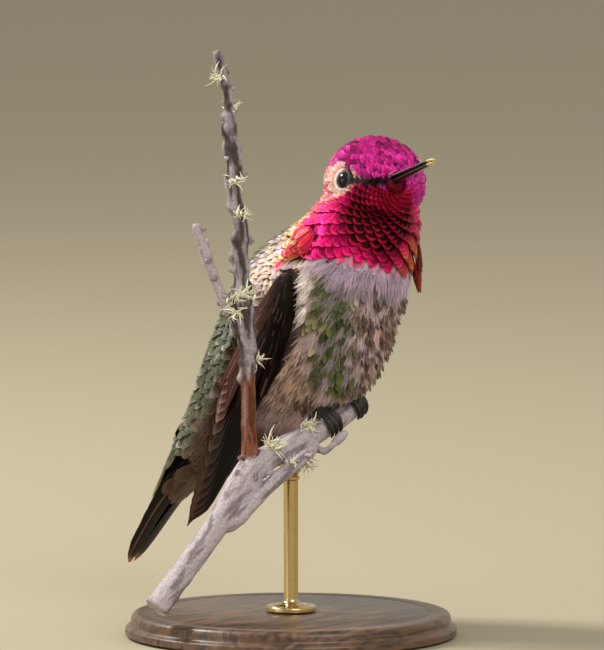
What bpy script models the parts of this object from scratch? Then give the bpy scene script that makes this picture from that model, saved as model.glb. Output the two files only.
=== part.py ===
"""A male Anna's hummingbird perched on a cut twig, on a small display stand.

The row frame: +Z up, the floor at z = 0, the origin in the middle of the
base's underside. The bird's body faces -Y, so its right side is at -X.
All lengths below are in millimetres; finish_node() turns them into metres.
"""
import math

import bmesh
import bpy
from mathutils import Matrix, Vector

# ---------------------------------------------------------------- driving sizes
GAP = 0.3                       # clearance kept between neighbouring solids
PERCH_POINT = (11.0, -1.15, 35.5)   # on the limb's axis, midway between the feet

HEAD_YAW = 31.0                 # degrees the head is turned to the bird's right
HEAD_LIFT = 17.5                # degrees the bill points above level
EYES_MIDDLE = (0.0, 8.7, 40.4)  # across, forward, up from the perch point
EYE_RADIUS = 1.75
EYE_SPREAD = 6.45               # eye centre to the middle plane of the head
BILL_LENGTH = 18.0
BILL_ROOT = (6.4, -2.4)         # forward and up from the point between the eyes

BASE_RADIUS = 27.5
BASE_HEIGHT = 4.0
BASE_EDGE = 0.9
ROD_RADIUS = 1.2
FLANGE_RADIUS = 4.2
FLANGE_HEIGHT = 1.1

LIMB_RADIUS = 2.0               # at the feet
FOOT_SPREAD = 3.7               # each foot from the body's middle plane
TOE_RADIUS = 0.47
TOE_SPACING = 1.15

# Body sections from tail tip to crown of the neck, measured from the perch
# point: forward, up, half depth, half width.
BODY_SECTIONS = (
    (-44.6, -27.2, 0.3, 0.7),   # tail tip
    (-43.6, -25.8, 0.55, 2.4),
    (-40.2, -21.2, 0.8, 3.4),
    (-36.6, -16.2, 1.6, 4.4),
    (-32.4, -11.2, 3.3, 5.4),   # undertail coverts
    (-27.0, -6.4, 5.8, 6.8),    # root of the tail
    (-20.8, -0.8, 8.5, 9.0),    # rump and vent
    (-15.4, 5.4, 11.0, 11.2),
    (-8.8, 11.9, 14.3, 12.3),   # belly, the deepest section
    (-3.4, 19.4, 13.8, 12.1),   # breast
    (1.4, 25.1, 11.1, 11.4),
    (4.4, 29.4, 9.4, 10.5),     # foot of the neck
    (6.6, 33.5, 8.3, 9.3),
    (7.6, 36.4, 7.0, 7.9),
    (8.2, 38.6, 4.6, 5.4),
    (8.5, 40.2, 0.8, 1.0),
)
TAIL_CUT = (-27.0, -6.4)        # forward, up of the cut between tail and trunk
NECK_CUT = (2.2, 27.8)          # forward, up of the cut between trunk and neck
AXIS_PITCH = 58.0               # degrees the neck cut's axis leans above level
TAIL_PITCH = 42.0

# Head sections along the bill's direction, from the point between the eyes:
# forward, centre above it, half height, half width.
HEAD_SECTIONS = (
    (-11.2, -1.2, 0.5, 0.6),    # back of the head
    (-10.3, -1.1, 3.0, 3.3),
    (-8.2, -0.8, 5.3, 5.9),
    (-5.2, -0.3, 7.0, 7.6),
    (-2.0, 0.0, 7.4, 8.1),
    (0.8, -0.2, 7.0, 7.8),      # over the eyes
    (3.4, -0.9, 5.6, 6.3),
    (5.4, -1.7, 3.8, 4.2),      # lores
    (7.0, -2.3, 1.9, 2.1),
    (7.9, -2.5, 0.9, 1.0),
)

# A folded right wing from wrist to tip: across, forward and up of its leading
# edge, how wide it is, and half its thickness.
WING_SECTIONS = (
    (-10.9, 0.6, 24.6, 1.2, 0.4),
    (-11.5, 1.2, 22.4, 4.4, 1.1),
    (-12.0, 1.3, 17.3, 8.0, 1.4),
    (-12.2, -1.4, 9.6, 10.6, 1.4),
    (-11.4, -6.5, 0.9, 11.4, 1.1),
    (-9.4, -12.6, -7.9, 9.6, 0.8),
    (-7.4, -20.0, -15.0, 6.2, 0.55),
    (-6.3, -25.4, -18.8, 2.6, 0.4),
    (-6.0, -27.0, -19.8, 0.8, 0.3),
)
WING_CHORD = (0.10, -0.842, 0.53)   # across, forward, up: leading to rear edge

LEFT_WING_SHIFT = 3.4           # the left wing is held this much further back

# Lower corners of the gorget: root and tip (across, forward, up), half width.
GORGET_CORNER_RIGHT = ((-9.3, 2.6, 32.0), (-11.9, -2.2, 26.9), 2.5)
GORGET_CORNER_LEFT = ((8.2, 9.4, 30.0), (8.6, 10.7, 20.9), 2.3)

# Twigs: points from the perch point (x, y, z) and the radius there.
LIMB_POINTS = (
    (-39.2, 7.1, -28.7, 2.15),  # sawn lower end
    (-35.4, 6.0, -24.6, 2.05),
    (-27.3, 4.1, -16.2, 2.05),
    (-23.5, 3.7, -11.8, 2.3),
    (-19.1, 3.0, -7.2, 2.55),   # fork
    (-15.0, 2.1, -5.2, 2.15),
    (-11.0, 1.15, -3.9, 2.3),
    (-7.5, 0.4, -2.6, 2.15),
    (-3.7, -0.2, -1.2, LIMB_RADIUS),
    (0.0, 0.0, 0.0, LIMB_RADIUS),
    (3.7, 0.3, 1.2, LIMB_RADIUS),
    (5.9, 0.5, 2.0, 1.75),
    (7.2, 0.5, 2.6, 1.2),       # broken upper end
)
UPRIGHT_POINTS = (
    (-19.2, 3.3, -6.6, 1.75),
    (-19.4, 3.3, -2.5, 1.65),
    (-19.4, 3.4, 4.2, 1.5),
    (-19.5, 3.6, 10.9, 1.45),
    (-19.8, 3.8, 15.2, 1.5),
    (-20.4, 4.4, 18.9, 2.1),    # node where the side twig leaves
    (-19.9, 4.4, 24.0, 1.4),
    (-20.2, 4.8, 27.9, 1.55),
    (-19.8, 4.6, 32.4, 1.25),
    (-20.3, 5.5, 36.6, 1.3),
    (-20.4, 6.0, 40.6, 1.1),
    (-20.1, 5.9, 44.2, 1.35),
    (-20.3, 6.6, 47.2, 0.95),
    (-20.3, 7.0, 50.5, 1.1),
    (-20.0, 7.2, 53.5, 0.75),
    (-20.2, 7.9, 57.2, 0.8),
    (-20.5, 8.6, 59.5, 0.95),
    (-20.5, 8.9, 61.7, 0.6),
)
SIDE_TWIG_POINTS = (
    (-20.8, 4.8, 17.6, 1.0),
    (-21.9, 5.5, 19.2, 1.1),
    (-23.5, 6.4, 22.7, 0.95),
    (-24.9, 7.2, 26.4, 1.0),
    (-25.6, 7.5, 28.8, 1.15),
    (-26.4, 8.1, 31.2, 0.8),
    (-27.0, 8.3, 33.0, 0.9),
    (-27.1, 8.4, 33.8, 0.55),
)
BRANCHLET_POINTS = (
    (-25.6, 3.5, -16.6, 1.0),
    (-24.2, 1.6, -14.7, 1.25),
    (-19.5, 0.0, -10.4, 1.3),
    (-13.6, -1.2, -6.8, 1.25),
    (-9.6, -1.6, -4.7, 1.25),
    (-7.6, -1.2, -3.6, 1.0),
)
BUD_POINTS = (
    (-7.2, -0.2, -4.2, 0.8),
    (-6.8, -2.6, -4.9, 0.75),
    (-6.4, -3.9, -3.9, 0.6),
    (-5.0, -4.7, -2.4, 0.9),
    (-4.0, -5.2, -1.5, 0.4),
)

# ------------------------------------------------------------------- small tools


def from_perch(across, forward, up):
    """A place given across, forward and up of the perch point."""
    return Vector(PERCH_POINT) + Vector((across, -forward, up))


def flowing(rows, steps):
    """Rows read from a smooth curve through the given ones, `steps` per span."""
    points = [list(row) for row in rows]
    result = []
    for i in range(len(points) - 1):
        before = points[max(i - 1, 0)]
        start, end = points[i], points[i + 1]
        after = points[min(i + 2, len(points) - 1)]
        for step in range(steps):
            t = step / steps
            result.append([
                0.5 * (2 * b + (c - a) * t
                       + (2 * a - 5 * b + 4 * c - d) * t ** 2
                       + (3 * b - a - 3 * c + d) * t ** 3)
                for a, b, c, d in zip(before, start, end, after)])
    result.append(points[-1])
    return result


def loft(rings, sides):
    """A closed solid through elliptical rings (centre, half axis u, half axis v)."""
    bm = bmesh.new()
    loops = []
    for centre, u, v in rings:
        normal = u.cross(v).normalized()
        frame = Matrix((u, v, normal)).transposed().to_4x4()
        frame.translation = centre
        ring = bmesh.ops.create_circle(bm, segments=sides, radius=1.0, matrix=frame)
        loops.append(list({e for v_ in ring["verts"] for e in v_.link_edges}))
    for lower, upper in zip(loops, loops[1:]):
        bmesh.ops.bridge_loops(bm, edges=lower + upper)
    for end in (loops[0], loops[-1]):
        bmesh.ops.edgeloop_fill(bm, edges=end)
    bmesh.ops.recalc_face_normals(bm, faces=bm.faces)
    return bm


def tube_rings(rows):
    """Round rings square to a route of (x, y, z, radius) rows."""
    places = [Vector(row[:3]) for row in rows]
    rings = []
    for i, row in enumerate(rows):
        along = (places[min(i + 1, len(rows) - 1)] - places[max(i - 1, 0)]).normalized()
        u = along.orthogonal() if i == 0 else (u - along * u.dot(along))
        u = u.normalized()
        v = along.cross(u)
        rings.append((places[i], u * row[3], v * row[3]))
    return rings


def finish_node(name, bm, colour, roughness, metallic=0.0, smooth=True):
    """Make the named object from a bmesh in millimetres, with its own material."""
    bmesh.ops.scale(bm, vec=(0.001, 0.001, 0.001), verts=bm.verts)
    mesh = bpy.data.meshes.new(name)
    bm.to_mesh(mesh)
    bm.free()
    if smooth:
        mesh.shade_smooth()
        mesh.set_sharp_from_angle(angle=math.radians(40))
    node = bpy.data.objects.new(name, mesh)
    bpy.context.scene.collection.objects.link(node)
    material = bpy.data.materials.new(name)
    material.use_nodes = True
    shader = material.node_tree.nodes["Principled BSDF"]
    shader.inputs["Base Color"].default_value = (*colour, 1.0)
    shader.inputs["Roughness"].default_value = roughness
    shader.inputs["Metallic"].default_value = metallic
    mesh.materials.append(material)
    return node


def clear_of(node, *neighbours):
    """Cut each neighbour, swollen by the gap, out of a node."""
    for neighbour in neighbours:
        name = "cut_" + neighbour.name
        cutter = bpy.data.objects.get(name) or swollen(neighbour, name)
        cut = node.modifiers.new(name, "BOOLEAN")
        cut.operation = "DIFFERENCE"
        cut.solver = "EXACT"
        cut.object = cutter


def swollen(node, name):
    """A hidden copy of a node's own mesh, grown by the gap along its normals."""
    bm = bmesh.new()
    bm.from_mesh(node.data)
    bm.normal_update()
    for vert in bm.verts:
        vert.co += vert.normal * GAP * 0.001
    mesh = bpy.data.meshes.new(name)
    bm.to_mesh(mesh)
    bm.free()
    cutter = bpy.data.objects.new(name, mesh)
    cutter.hide_render = True
    cutter.display_type = "WIRE"
    bpy.context.scene.collection.objects.link(cutter)
    return cutter


def join_all(node, others):
    """Unite other solids with a node, and keep them as hidden guides."""
    for other in others:
        other.hide_render = True
        other.display_type = "WIRE"
        union = node.modifiers.new("with_" + other.name, "BOOLEAN")
        union.operation = "UNION"
        union.solver = "EXACT"
        union.object = other


# ----------------------------------------------------------- body, neck and tail


def body_rings():
    """Elliptical sections square to the body's axis, in its middle plane."""
    rows = flowing(BODY_SECTIONS, 2)
    rings = []
    for i, (forward, up, depth, width) in enumerate(rows):
        here, there = rows[max(i - 1, 0)], rows[min(i + 1, len(rows) - 1)]
        along = Vector((0, here[0] - there[0], there[1] - here[1])).normalized()
        across = Vector((1, 0, 0))
        rings.append((from_perch(0, forward, up), across * width,
                      along.cross(across) * depth))
    return rings


def part_of_body(above=None, below=None):
    """The whole body loft, kept only above and below the cuts that are given."""
    bm = loft(body_rings(), 24)
    for cut, side in ((above, 1), (below, -1)):
        if cut is None:
            continue
        (forward, up), pitch = cut
        along = Vector((0, -math.cos(math.radians(pitch)), math.sin(math.radians(pitch))))
        place = from_perch(0, forward, up) + along * side * GAP / 2
        bmesh.ops.bisect_plane(bm, geom=bm.verts[:] + bm.edges[:] + bm.faces[:],
                               plane_co=place, plane_no=along * side,
                               clear_inner=True, dist=1e-5)
        rim = [edge for edge in bm.edges if edge.is_boundary]
        bmesh.ops.edgeloop_fill(bm, edges=rim)
    bmesh.ops.recalc_face_normals(bm, faces=bm.faces)
    return bm


def build_body():
    tail_cut = (TAIL_CUT, TAIL_PITCH)
    neck_cut = (NECK_CUT, AXIS_PITCH)
    tail = finish_node("tail", part_of_body(below=tail_cut), (0.05, 0.035, 0.03), 0.5)
    trunk = finish_node("trunk", part_of_body(above=tail_cut, below=neck_cut),
                        (0.33, 0.30, 0.22), 0.7)
    neck = finish_node("neck", part_of_body(above=neck_cut), (0.55, 0.02, 0.10), 0.4)
    return tail, trunk, neck


# -------------------------------------------------------------------------- head


def head_axes():
    """Forward, right and up of the turned and lifted head."""
    yaw, lift = math.radians(HEAD_YAW), math.radians(HEAD_LIFT)
    forward = Vector((-math.sin(yaw) * math.cos(lift),
                      -math.cos(yaw) * math.cos(lift), math.sin(lift)))
    right = forward.cross(Vector((0, 0, 1))).normalized()
    return forward, right, right.cross(forward)


def in_head(forward, right=0.0, up=0.0):
    """A place in the head, from the point between the eyes."""
    ahead, aside, above = head_axes()
    return from_perch(*EYES_MIDDLE) + ahead * forward + aside * right + above * up


def build_head():
    ahead, aside, above = head_axes()
    rings = [(in_head(f, 0, up), aside * width, above * height)
             for f, up, height, width in flowing(HEAD_SECTIONS, 2)]
    head = finish_node("head", loft(rings, 24), (0.55, 0.02, 0.22), 0.4)
    return head


def build_eye(name, side):
    bm = bmesh.new()
    place = Matrix.Translation(in_head(0.35, EYE_SPREAD * side, 0.0))
    bmesh.ops.create_icosphere(bm, subdivisions=2, radius=EYE_RADIUS, matrix=place)
    return finish_node(name, bm, (0.01, 0.008, 0.008), 0.08)


def build_bill(name, upper):
    """One mandible: half an ellipse in section, tapering to a blunt tip."""
    ahead, aside, above = head_axes()
    root_forward, root_up = BILL_ROOT
    reach = BILL_LENGTH if upper else BILL_LENGTH - 0.5
    side = 1 if upper else -1
    rings = []
    for along, thick in ((-2.0, 1.0), (0.0, 1.0), (0.3, 0.84), (0.7, 0.72),
                         (0.93, 0.66), (0.985, 0.46), (1.0, 0.2)):
        forward = root_forward + (along if along < 0 else along * reach)
        centre = in_head(forward, 0, root_up + side * (0.42 * thick + GAP * 0.4))
        rings.append((centre, aside * 0.95 * thick, above * 0.42 * thick))
    return finish_node(name, loft(rings, 12), (0.03, 0.027, 0.025), 0.3)


def build_gorget_corner(name, corner):
    """A pointed lappet of long feathers at a lower corner of the gorget."""
    root, tip, half_width = from_perch(*corner[0]), from_perch(*corner[1]), corner[2]
    along = (tip - root).normalized()
    outward = root - from_perch(0, 2.0, 31.0)
    outward = (outward - along * outward.dot(along)).normalized()
    flat = outward.cross(along)
    shape = ((0.0, 0.35), (0.08, 0.8), (0.3, 1.0), (0.6, 0.72), (0.85, 0.38), (1.0, 0.12))
    rings = [(root.lerp(tip, t), flat * half_width * w, outward * (0.3 + 0.6 * w))
             for t, w in shape]
    return finish_node(name, loft(rings, 10), (0.60, 0.06, 0.03), 0.45)


# ------------------------------------------------------------------------- wings


def build_wing(name, mirror):
    """A folded wing: flat elliptical sections from the wrist to the tip."""
    across, forward, up = WING_CHORD
    chord = Vector((across, -forward, up)).normalized()
    rows = flowing(WING_SECTIONS, 2)
    shift = LEFT_WING_SHIFT if mirror else 0.0
    edges = [from_perch(*row[:3]) + chord * shift * math.sin(math.pi * i / len(rows))
             for i, row in enumerate(rows)]
    rings = []
    for i, (x, f, z, width, thick) in enumerate(rows):
        along = (edges[min(i + 1, len(rows) - 1)] - edges[max(i - 1, 0)]).normalized()
        face = chord.cross(along).normalized()
        rings.append((edges[i] + chord * width / 2, chord * width / 2, face * thick))
    bm = loft(rings, 12)
    if mirror:
        middle = PERCH_POINT[0]
        bmesh.ops.translate(bm, vec=(-middle, 0, 0), verts=bm.verts)
        bmesh.ops.scale(bm, vec=(-1, 1, 1), verts=bm.verts)
        bmesh.ops.translate(bm, vec=(middle, 0, 0), verts=bm.verts)
        bmesh.ops.recalc_face_normals(bm, faces=bm.faces)
    return finish_node(name, bm, (0.045, 0.03, 0.028), 0.5)


# ---------------------------------------------------------------- legs and feet


def limb_frame(across):
    """Place and direction of the limb's axis a distance across from the middle."""
    rows = flowing(LIMB_POINTS, 2)
    nearest = min(range(1, len(rows) - 1), key=lambda i: abs(rows[i][0] - across))
    place = Vector(PERCH_POINT) + Vector(rows[nearest][:3])
    along = (Vector(rows[nearest + 1][:3]) - Vector(rows[nearest - 1][:3])).normalized()
    return place, along


def toe_rings(centre, along, start, sweep, shift):
    """Rings of one toe curled round the limb from `start` through `sweep` degrees."""
    over = Vector((0, 0, 1))
    over = (over - along * over.dot(along)).normalized()
    front = along.cross(over)
    reach = LIMB_RADIUS + TOE_RADIUS + GAP
    rows = []
    for step in range(8):
        turn = math.radians(start + sweep * step / 7)
        taper = 1.0 if step < 5 else (0.85, 0.6, 0.3)[step - 5]
        lift = reach + (0.4 if step == 0 else 0.0) - (1 - taper) * TOE_RADIUS * 0.8
        place = centre + along * shift * min(1.0, 0.35 + step * 0.25)
        rows.append((*(place + over * lift * math.cos(turn) + front * lift * math.sin(turn)),
                     TOE_RADIUS * taper))
    return tube_rings(rows)


def build_foot(name, across):
    """Three toes over the front of the limb and one behind, united at the ankle."""
    centre, along = limb_frame(across)
    over = Vector((0, 0, 1))
    ankle = bmesh.new()
    height = LIMB_RADIUS + GAP + 0.5
    bmesh.ops.create_icosphere(ankle, subdivisions=2, radius=0.8,
                               matrix=Matrix.Translation(centre + over * height))
    foot = finish_node(name, ankle, (0.03, 0.025, 0.025), 0.6)
    toes = []
    for i, (shift, start, sweep) in enumerate(((-TOE_SPACING, 0, 122), (0, 0, 130),
                                               (TOE_SPACING, 0, 122), (0, 0, -110))):
        rings = toe_rings(centre, along, start, sweep, shift)
        toes.append(finish_node(f"{name}_toe_{i + 1}", loft(rings, 7),
                                (0.03, 0.025, 0.025), 0.6))
    join_all(foot, toes)
    return foot


def build_foot_room():
    """A hidden sleeve round the limb: the room that the feet take in the belly."""
    radius = LIMB_RADIUS + 2 * TOE_RADIUS + GAP
    reach = FOOT_SPREAD + TOE_SPACING + TOE_RADIUS + GAP
    rows = [(*limb_frame(across)[0], radius) for across in (-reach, 0.0, reach)]
    room = finish_node("foot_room", loft(tube_rings(rows), 20), (0.5, 0.5, 0.5), 1.0)
    room.hide_render = True
    room.display_type = "WIRE"
    return room


def build_leg(name, across):
    """The short tarsus, from just above the foot up into the belly feathers."""
    centre, _ = limb_frame(across)
    foot_top = LIMB_RADIUS + GAP + 0.5 + 0.8 + GAP
    top = centre + Vector((-0.15 * across, 1.6, foot_top + 4.2))
    bottom = centre + Vector((0, 0, foot_top))
    rows = [(*bottom.lerp(top, t), radius)
            for t, radius in ((0, 0.7), (0.3, 0.8), (0.6, 1.3), (1.0, 1.6))]
    return finish_node(name, loft(tube_rings(rows), 10), (0.35, 0.28, 0.22), 0.8)


# ------------------------------------------------------------------ perch, stand


def build_twig(name, points, sides, colour=(0.42, 0.38, 0.40)):
    rows = [[*(Vector(PERCH_POINT) + Vector(row[:3])), row[3]]
            for row in flowing(points, 2)]
    return finish_node(name, loft(tube_rings(rows), sides), colour, 0.85)


def turned(profile, steps):
    """A solid turned about the origin's upright axis from (radius, height) points."""
    bm = bmesh.new()
    verts = [bm.verts.new((radius, 0, height)) for radius, height in profile]
    edges = [bm.edges.new(pair) for pair in zip(verts, verts[1:])]
    bmesh.ops.spin(bm, geom=verts + edges, cent=(0, 0, 0), axis=(0, 0, 1),
                   angle=math.tau, steps=steps, use_merge=True)
    bmesh.ops.remove_doubles(bm, verts=bm.verts, dist=1e-4)
    bmesh.ops.recalc_face_normals(bm, faces=bm.faces)
    return bm


def build_stand(*carried):
    edge = BASE_EDGE
    base = turned(((0, 0), (BASE_RADIUS - edge, 0), (BASE_RADIUS, edge),
                   (BASE_RADIUS, BASE_HEIGHT - edge), (BASE_RADIUS - edge, BASE_HEIGHT),
                   (0, BASE_HEIGHT)), 56)
    finish_node("stand_base", base, (0.16, 0.08, 0.04), 0.4)
    foot = BASE_HEIGHT + GAP
    top = PERCH_POINT[2] - 4.1
    rod = turned(((0, foot), (FLANGE_RADIUS, foot), (FLANGE_RADIUS, foot + FLANGE_HEIGHT),
                  (ROD_RADIUS, foot + FLANGE_HEIGHT), (ROD_RADIUS, top - 4.6),
                  (ROD_RADIUS * 1.9, top - 3.6), (ROD_RADIUS * 1.9, top), (0, top)), 20)
    rod = finish_node("stand_rod", rod, (0.55, 0.42, 0.20), 0.3, metallic=1.0)
    clear_of(rod, *carried)


def main():
    for item in list(bpy.data.objects):
        bpy.data.objects.remove(item, do_unlink=True)

    tail, trunk, neck = build_body()
    head = build_head()
    eyes = build_eye("eye_right", 1), build_eye("eye_left", -1)
    bills = build_bill("bill_upper", True), build_bill("bill_lower", False)
    wings = build_wing("wing_right", False), build_wing("wing_left", True)
    corners = (build_gorget_corner("gorget_right", GORGET_CORNER_RIGHT),
               build_gorget_corner("gorget_left", GORGET_CORNER_LEFT))
    for side, across in (("right", -FOOT_SPREAD), ("left", FOOT_SPREAD)):
        build_foot("foot_" + side, across)
    legs = build_leg("leg_right", -FOOT_SPREAD), build_leg("leg_left", FOOT_SPREAD)

    clear_of(neck, head, *corners, *wings)
    clear_of(head, *eyes, *bills, *corners)

    limb = build_twig("perch_limb", LIMB_POINTS, 12)
    upright = build_twig("perch_upright", UPRIGHT_POINTS, 10)
    side = build_twig("perch_side_twig", SIDE_TWIG_POINTS, 8)
    branchlet = build_twig("perch_branchlet", BRANCHLET_POINTS, 10)
    bud = build_twig("perch_bud", BUD_POINTS, 8)
    clear_of(trunk, *wings, *corners, *legs, limb, build_foot_room())
    clear_of(upright, limb)
    clear_of(side, upright)
    clear_of(branchlet, limb)
    clear_of(bud, limb, branchlet)
    build_stand(limb, branchlet)


main()
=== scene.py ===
# %% [markdown]
# # A hummingbird model, dressed
# The solids give the bird's true size and pose: head, neck, trunk, wings, bill and
# the twig it grips. A museum modeller would carve that body a little thin and then
# lay real feathers over it, from the tail forwards. This lesson does the same with
# meshes: first the frame is opened and measured, then one skin is cast over the
# flesh, then a comb of lines is drawn on it, and every feather follows that comb.

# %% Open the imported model
import math

import bmesh
import bpy
import numpy as np
from mathutils import Matrix, Vector, noise
from mathutils.bvhtree import BVHTree


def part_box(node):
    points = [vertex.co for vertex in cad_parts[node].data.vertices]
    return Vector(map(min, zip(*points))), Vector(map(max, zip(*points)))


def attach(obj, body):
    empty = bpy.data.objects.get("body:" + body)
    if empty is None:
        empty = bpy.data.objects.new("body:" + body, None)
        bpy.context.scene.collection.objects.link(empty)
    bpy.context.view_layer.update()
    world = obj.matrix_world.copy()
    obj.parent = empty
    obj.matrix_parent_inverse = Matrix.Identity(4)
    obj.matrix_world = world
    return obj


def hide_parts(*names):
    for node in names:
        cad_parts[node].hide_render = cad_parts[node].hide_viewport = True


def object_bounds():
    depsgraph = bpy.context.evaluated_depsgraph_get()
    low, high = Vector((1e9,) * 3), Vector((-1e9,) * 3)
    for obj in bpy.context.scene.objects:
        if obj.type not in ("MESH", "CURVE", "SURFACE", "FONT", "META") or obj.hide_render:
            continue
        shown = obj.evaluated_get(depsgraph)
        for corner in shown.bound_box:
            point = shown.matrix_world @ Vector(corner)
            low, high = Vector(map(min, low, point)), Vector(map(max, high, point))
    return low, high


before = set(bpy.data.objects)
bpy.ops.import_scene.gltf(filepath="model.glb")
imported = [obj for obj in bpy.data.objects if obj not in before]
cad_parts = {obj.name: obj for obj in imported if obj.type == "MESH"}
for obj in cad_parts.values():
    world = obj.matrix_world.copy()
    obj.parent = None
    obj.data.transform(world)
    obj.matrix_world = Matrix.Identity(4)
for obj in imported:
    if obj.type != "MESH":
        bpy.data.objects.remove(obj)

CAD_BOX = [list(corner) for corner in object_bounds()]
CAD_MIDDLE = (Vector(CAD_BOX[0]) + Vector(CAD_BOX[1])) / 2
MM = 0.001
chance = np.random.default_rng(17)      # every random draw comes from this one
print("solids:", [[round(c / MM, 1) for c in corner] for corner in CAD_BOX], "mm")

# %% [markdown]
# ## Camera, floor and light
# A bird this small is seen through a long lens from more than a metre away, so the
# view is almost flat. The camera looks from the bird's front right, a little above
# level. One soft key stands high on the left and slightly behind, which rims the
# back and the twigs, and two broad fills keep the throat open.

# %% Camera
VIEW_TURN, VIEW_RISE = math.radians(-52), math.radians(5)
VIEW_DISTANCE = 1.2
VIEW_HEIGHT = 108.33 * MM               # what the frame's height covers at the bird
BACK = Vector((math.sin(VIEW_TURN) * math.cos(VIEW_RISE),
               -math.cos(VIEW_TURN) * math.cos(VIEW_RISE), math.sin(VIEW_RISE)))
ACROSS = Vector((math.cos(VIEW_TURN), math.sin(VIEW_TURN), 0))
UPWARD = BACK.cross(ACROSS)
AIM = CAD_MIDDLE + Vector((9.62, -2.32, 2.29)) * MM


def add_object(name, data):
    """Put a camera, a lamp or a mesh in the scene as an object."""
    made = bpy.data.objects.new(name, data)
    bpy.context.scene.collection.objects.link(made)
    return made


camera = add_object("camera", bpy.data.cameras.new("camera"))
camera.data.sensor_width = 36
camera.data.lens = camera.data.sensor_width * VIEW_DISTANCE / VIEW_HEIGHT
camera.data.clip_start, camera.data.clip_end = 0.05, 20
camera.matrix_world = Matrix.Translation(AIM + BACK * VIEW_DISTANCE) @ Matrix(
    (ACROSS, UPWARD, BACK)).transposed().to_4x4()
bpy.context.scene.camera = camera
bpy.context.scene.view_settings.view_transform = "Standard"
print("lens", round(camera.data.lens, 1), "mm")

# %% [markdown]
# ## Materials out of nodes
# Every finish here is the standard shader with a colour that comes from noise, from
# places on the piece or from colours stored in its mesh, and often a fine relief.
# One small class adds the nodes that recur, so a finish takes only a few lines.

# %% A material in the making


class Finish:
    """A material whose even values sit on the shader's own sockets."""

    def __init__(self, name, roughness, **uniform):
        self.material = bpy.data.materials.new(name)
        self.material.use_nodes = True
        self.tree = self.material.node_tree
        self.shader = self.tree.nodes["Principled BSDF"]
        for socket, value in dict(uniform, Roughness=roughness).items():
            self.shader.inputs[socket.replace("_", " ")].default_value = value

    def node(self, kind, output, sockets=None, **settings):
        """Add a node fed with values or other outputs, and return its output."""
        made = self.tree.nodes.new("ShaderNode" + kind)
        for key, value in settings.items():
            setattr(made, key, value)
        for key, value in (sockets or {}).items():
            if isinstance(value, bpy.types.NodeSocket):
                self.tree.links.new(value, made.inputs[key])
            else:
                made.inputs[key].default_value = value
        return made.outputs[output]

    def stored(self, name):
        """A colour stored in the mesh."""
        return self.node("Attribute", "Color", attribute_name=name)

    def place(self, stretch=None):
        """Where on the piece, squeezed along its axes if wanted."""
        place = self.node("TexCoord", "Object")
        if stretch is None:
            return place
        return self.node("Mapping", "Vector", {"Vector": place, "Scale": stretch})

    def noise(self, scale, detail=2.0, stretch=None, distortion=0.0):
        return self.node("TexNoise", "Fac", {
            "Vector": self.place(stretch), "Scale": scale, "Detail": detail,
            "Distortion": distortion})

    def reach(self, direction):
        """How far along a direction, in metres."""
        return self.node("VectorMath", "Value", {0: self.place(), 1: tuple(direction)},
                         operation="DOT_PRODUCT")

    def math(self, operation, *values):
        return self.node("Math", 0, dict(enumerate(values)), operation=operation)

    def between(self, value, start, end, low=0.0, high=1.0, **settings):
        """low where the value is at start, high where it is at end."""
        return self.node("MapRange", "Result", {
            "Value": value, "From Min": start, "From Max": end, "To Min": low,
            "To Max": high}, **settings)

    def mix(self, share, first, second, blend="MIX"):
        return self.node("MixRGB", "Color", {"Fac": share, "Color1": first,
                                             "Color2": second}, blend_type=blend)

    def tones(self, value, low, high, ends=(0.0, 1.0)):
        """From one colour to another as the value rises."""
        colour = self.node("ValToRGB", "Color", {"Fac": value})
        for i, tone in enumerate((low, high)):
            colour.node.color_ramp.elements[i].position = ends[i]
            colour.node.color_ramp.elements[i].color = (*tone, 1)
        return colour

    def done(self, colour, height=None, strength=0.0, depth=0.0):
        """Connect the colour and the relief, and hand the material over."""
        self.tree.links.new(colour, self.shader.inputs["Base Color"])
        if height is not None:
            bump = self.node("Bump", "Normal", {"Strength": strength,
                                                "Distance": depth, "Height": height})
            self.tree.links.new(bump, self.shader.inputs["Normal"])
        return self.material


def mesh_from(name, bm, *finishes):
    """Store a bmesh as a smooth mesh with its finishes."""
    mesh = bpy.data.meshes.new(name)
    bm.to_mesh(mesh)
    bm.free()
    for finish in finishes:
        mesh.materials.append(finish)
    mesh.shade_smooth()
    return mesh


# %% Floor and light
FLOOR_RADIUS = 6.0
FLOOR_COLOUR = (0.38, 0.335, 0.235, 1)
SKY_COLOUR, SKY_STRENGTH = (0.80, 0.77, 0.68, 1), 0.74
LAMPS = (                               # across, up, back (m), size, watts, colour
    ("key", -0.55, 0.62, -0.12, 0.20, 8, (1.0, 0.96, 0.90)),
    ("front_fill", 0.35, 0.45, 0.8, 0.45, 4, (1.0, 0.98, 0.96)),
    ("left_fill", -0.8, 0.1, 0.5, 0.5, 1.5, (0.95, 0.97, 1.0)),
)

bm = bmesh.new()
bmesh.ops.create_circle(bm, cap_ends=True, segments=64, radius=FLOOR_RADIUS)
floor_finish = Finish("pale_floor", 0.9, Base_Color=FLOOR_COLOUR).material
floor = add_object("floor", mesh_from("floor", bm, floor_finish))

world = bpy.data.worlds.new("studio")
bpy.context.scene.world = world
world.use_nodes = True
sky = world.node_tree.nodes["Background"]
sky.inputs["Color"].default_value = SKY_COLOUR
sky.inputs["Strength"].default_value = SKY_STRENGTH
for name, across, up, back, size, power, colour in LAMPS:
    lamp = add_object(name, bpy.data.lights.new(name, "AREA"))
    lamp.data.size, lamp.data.energy, lamp.data.color = size, power, colour
    offset = ACROSS * across + UPWARD * up + BACK * back
    lamp.matrix_world = Matrix.Translation(AIM + offset) @ offset.to_track_quat(
        "Z", "Y").to_matrix().to_4x4()
print("floor, sky and", len(LAMPS), "lamps")

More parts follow.
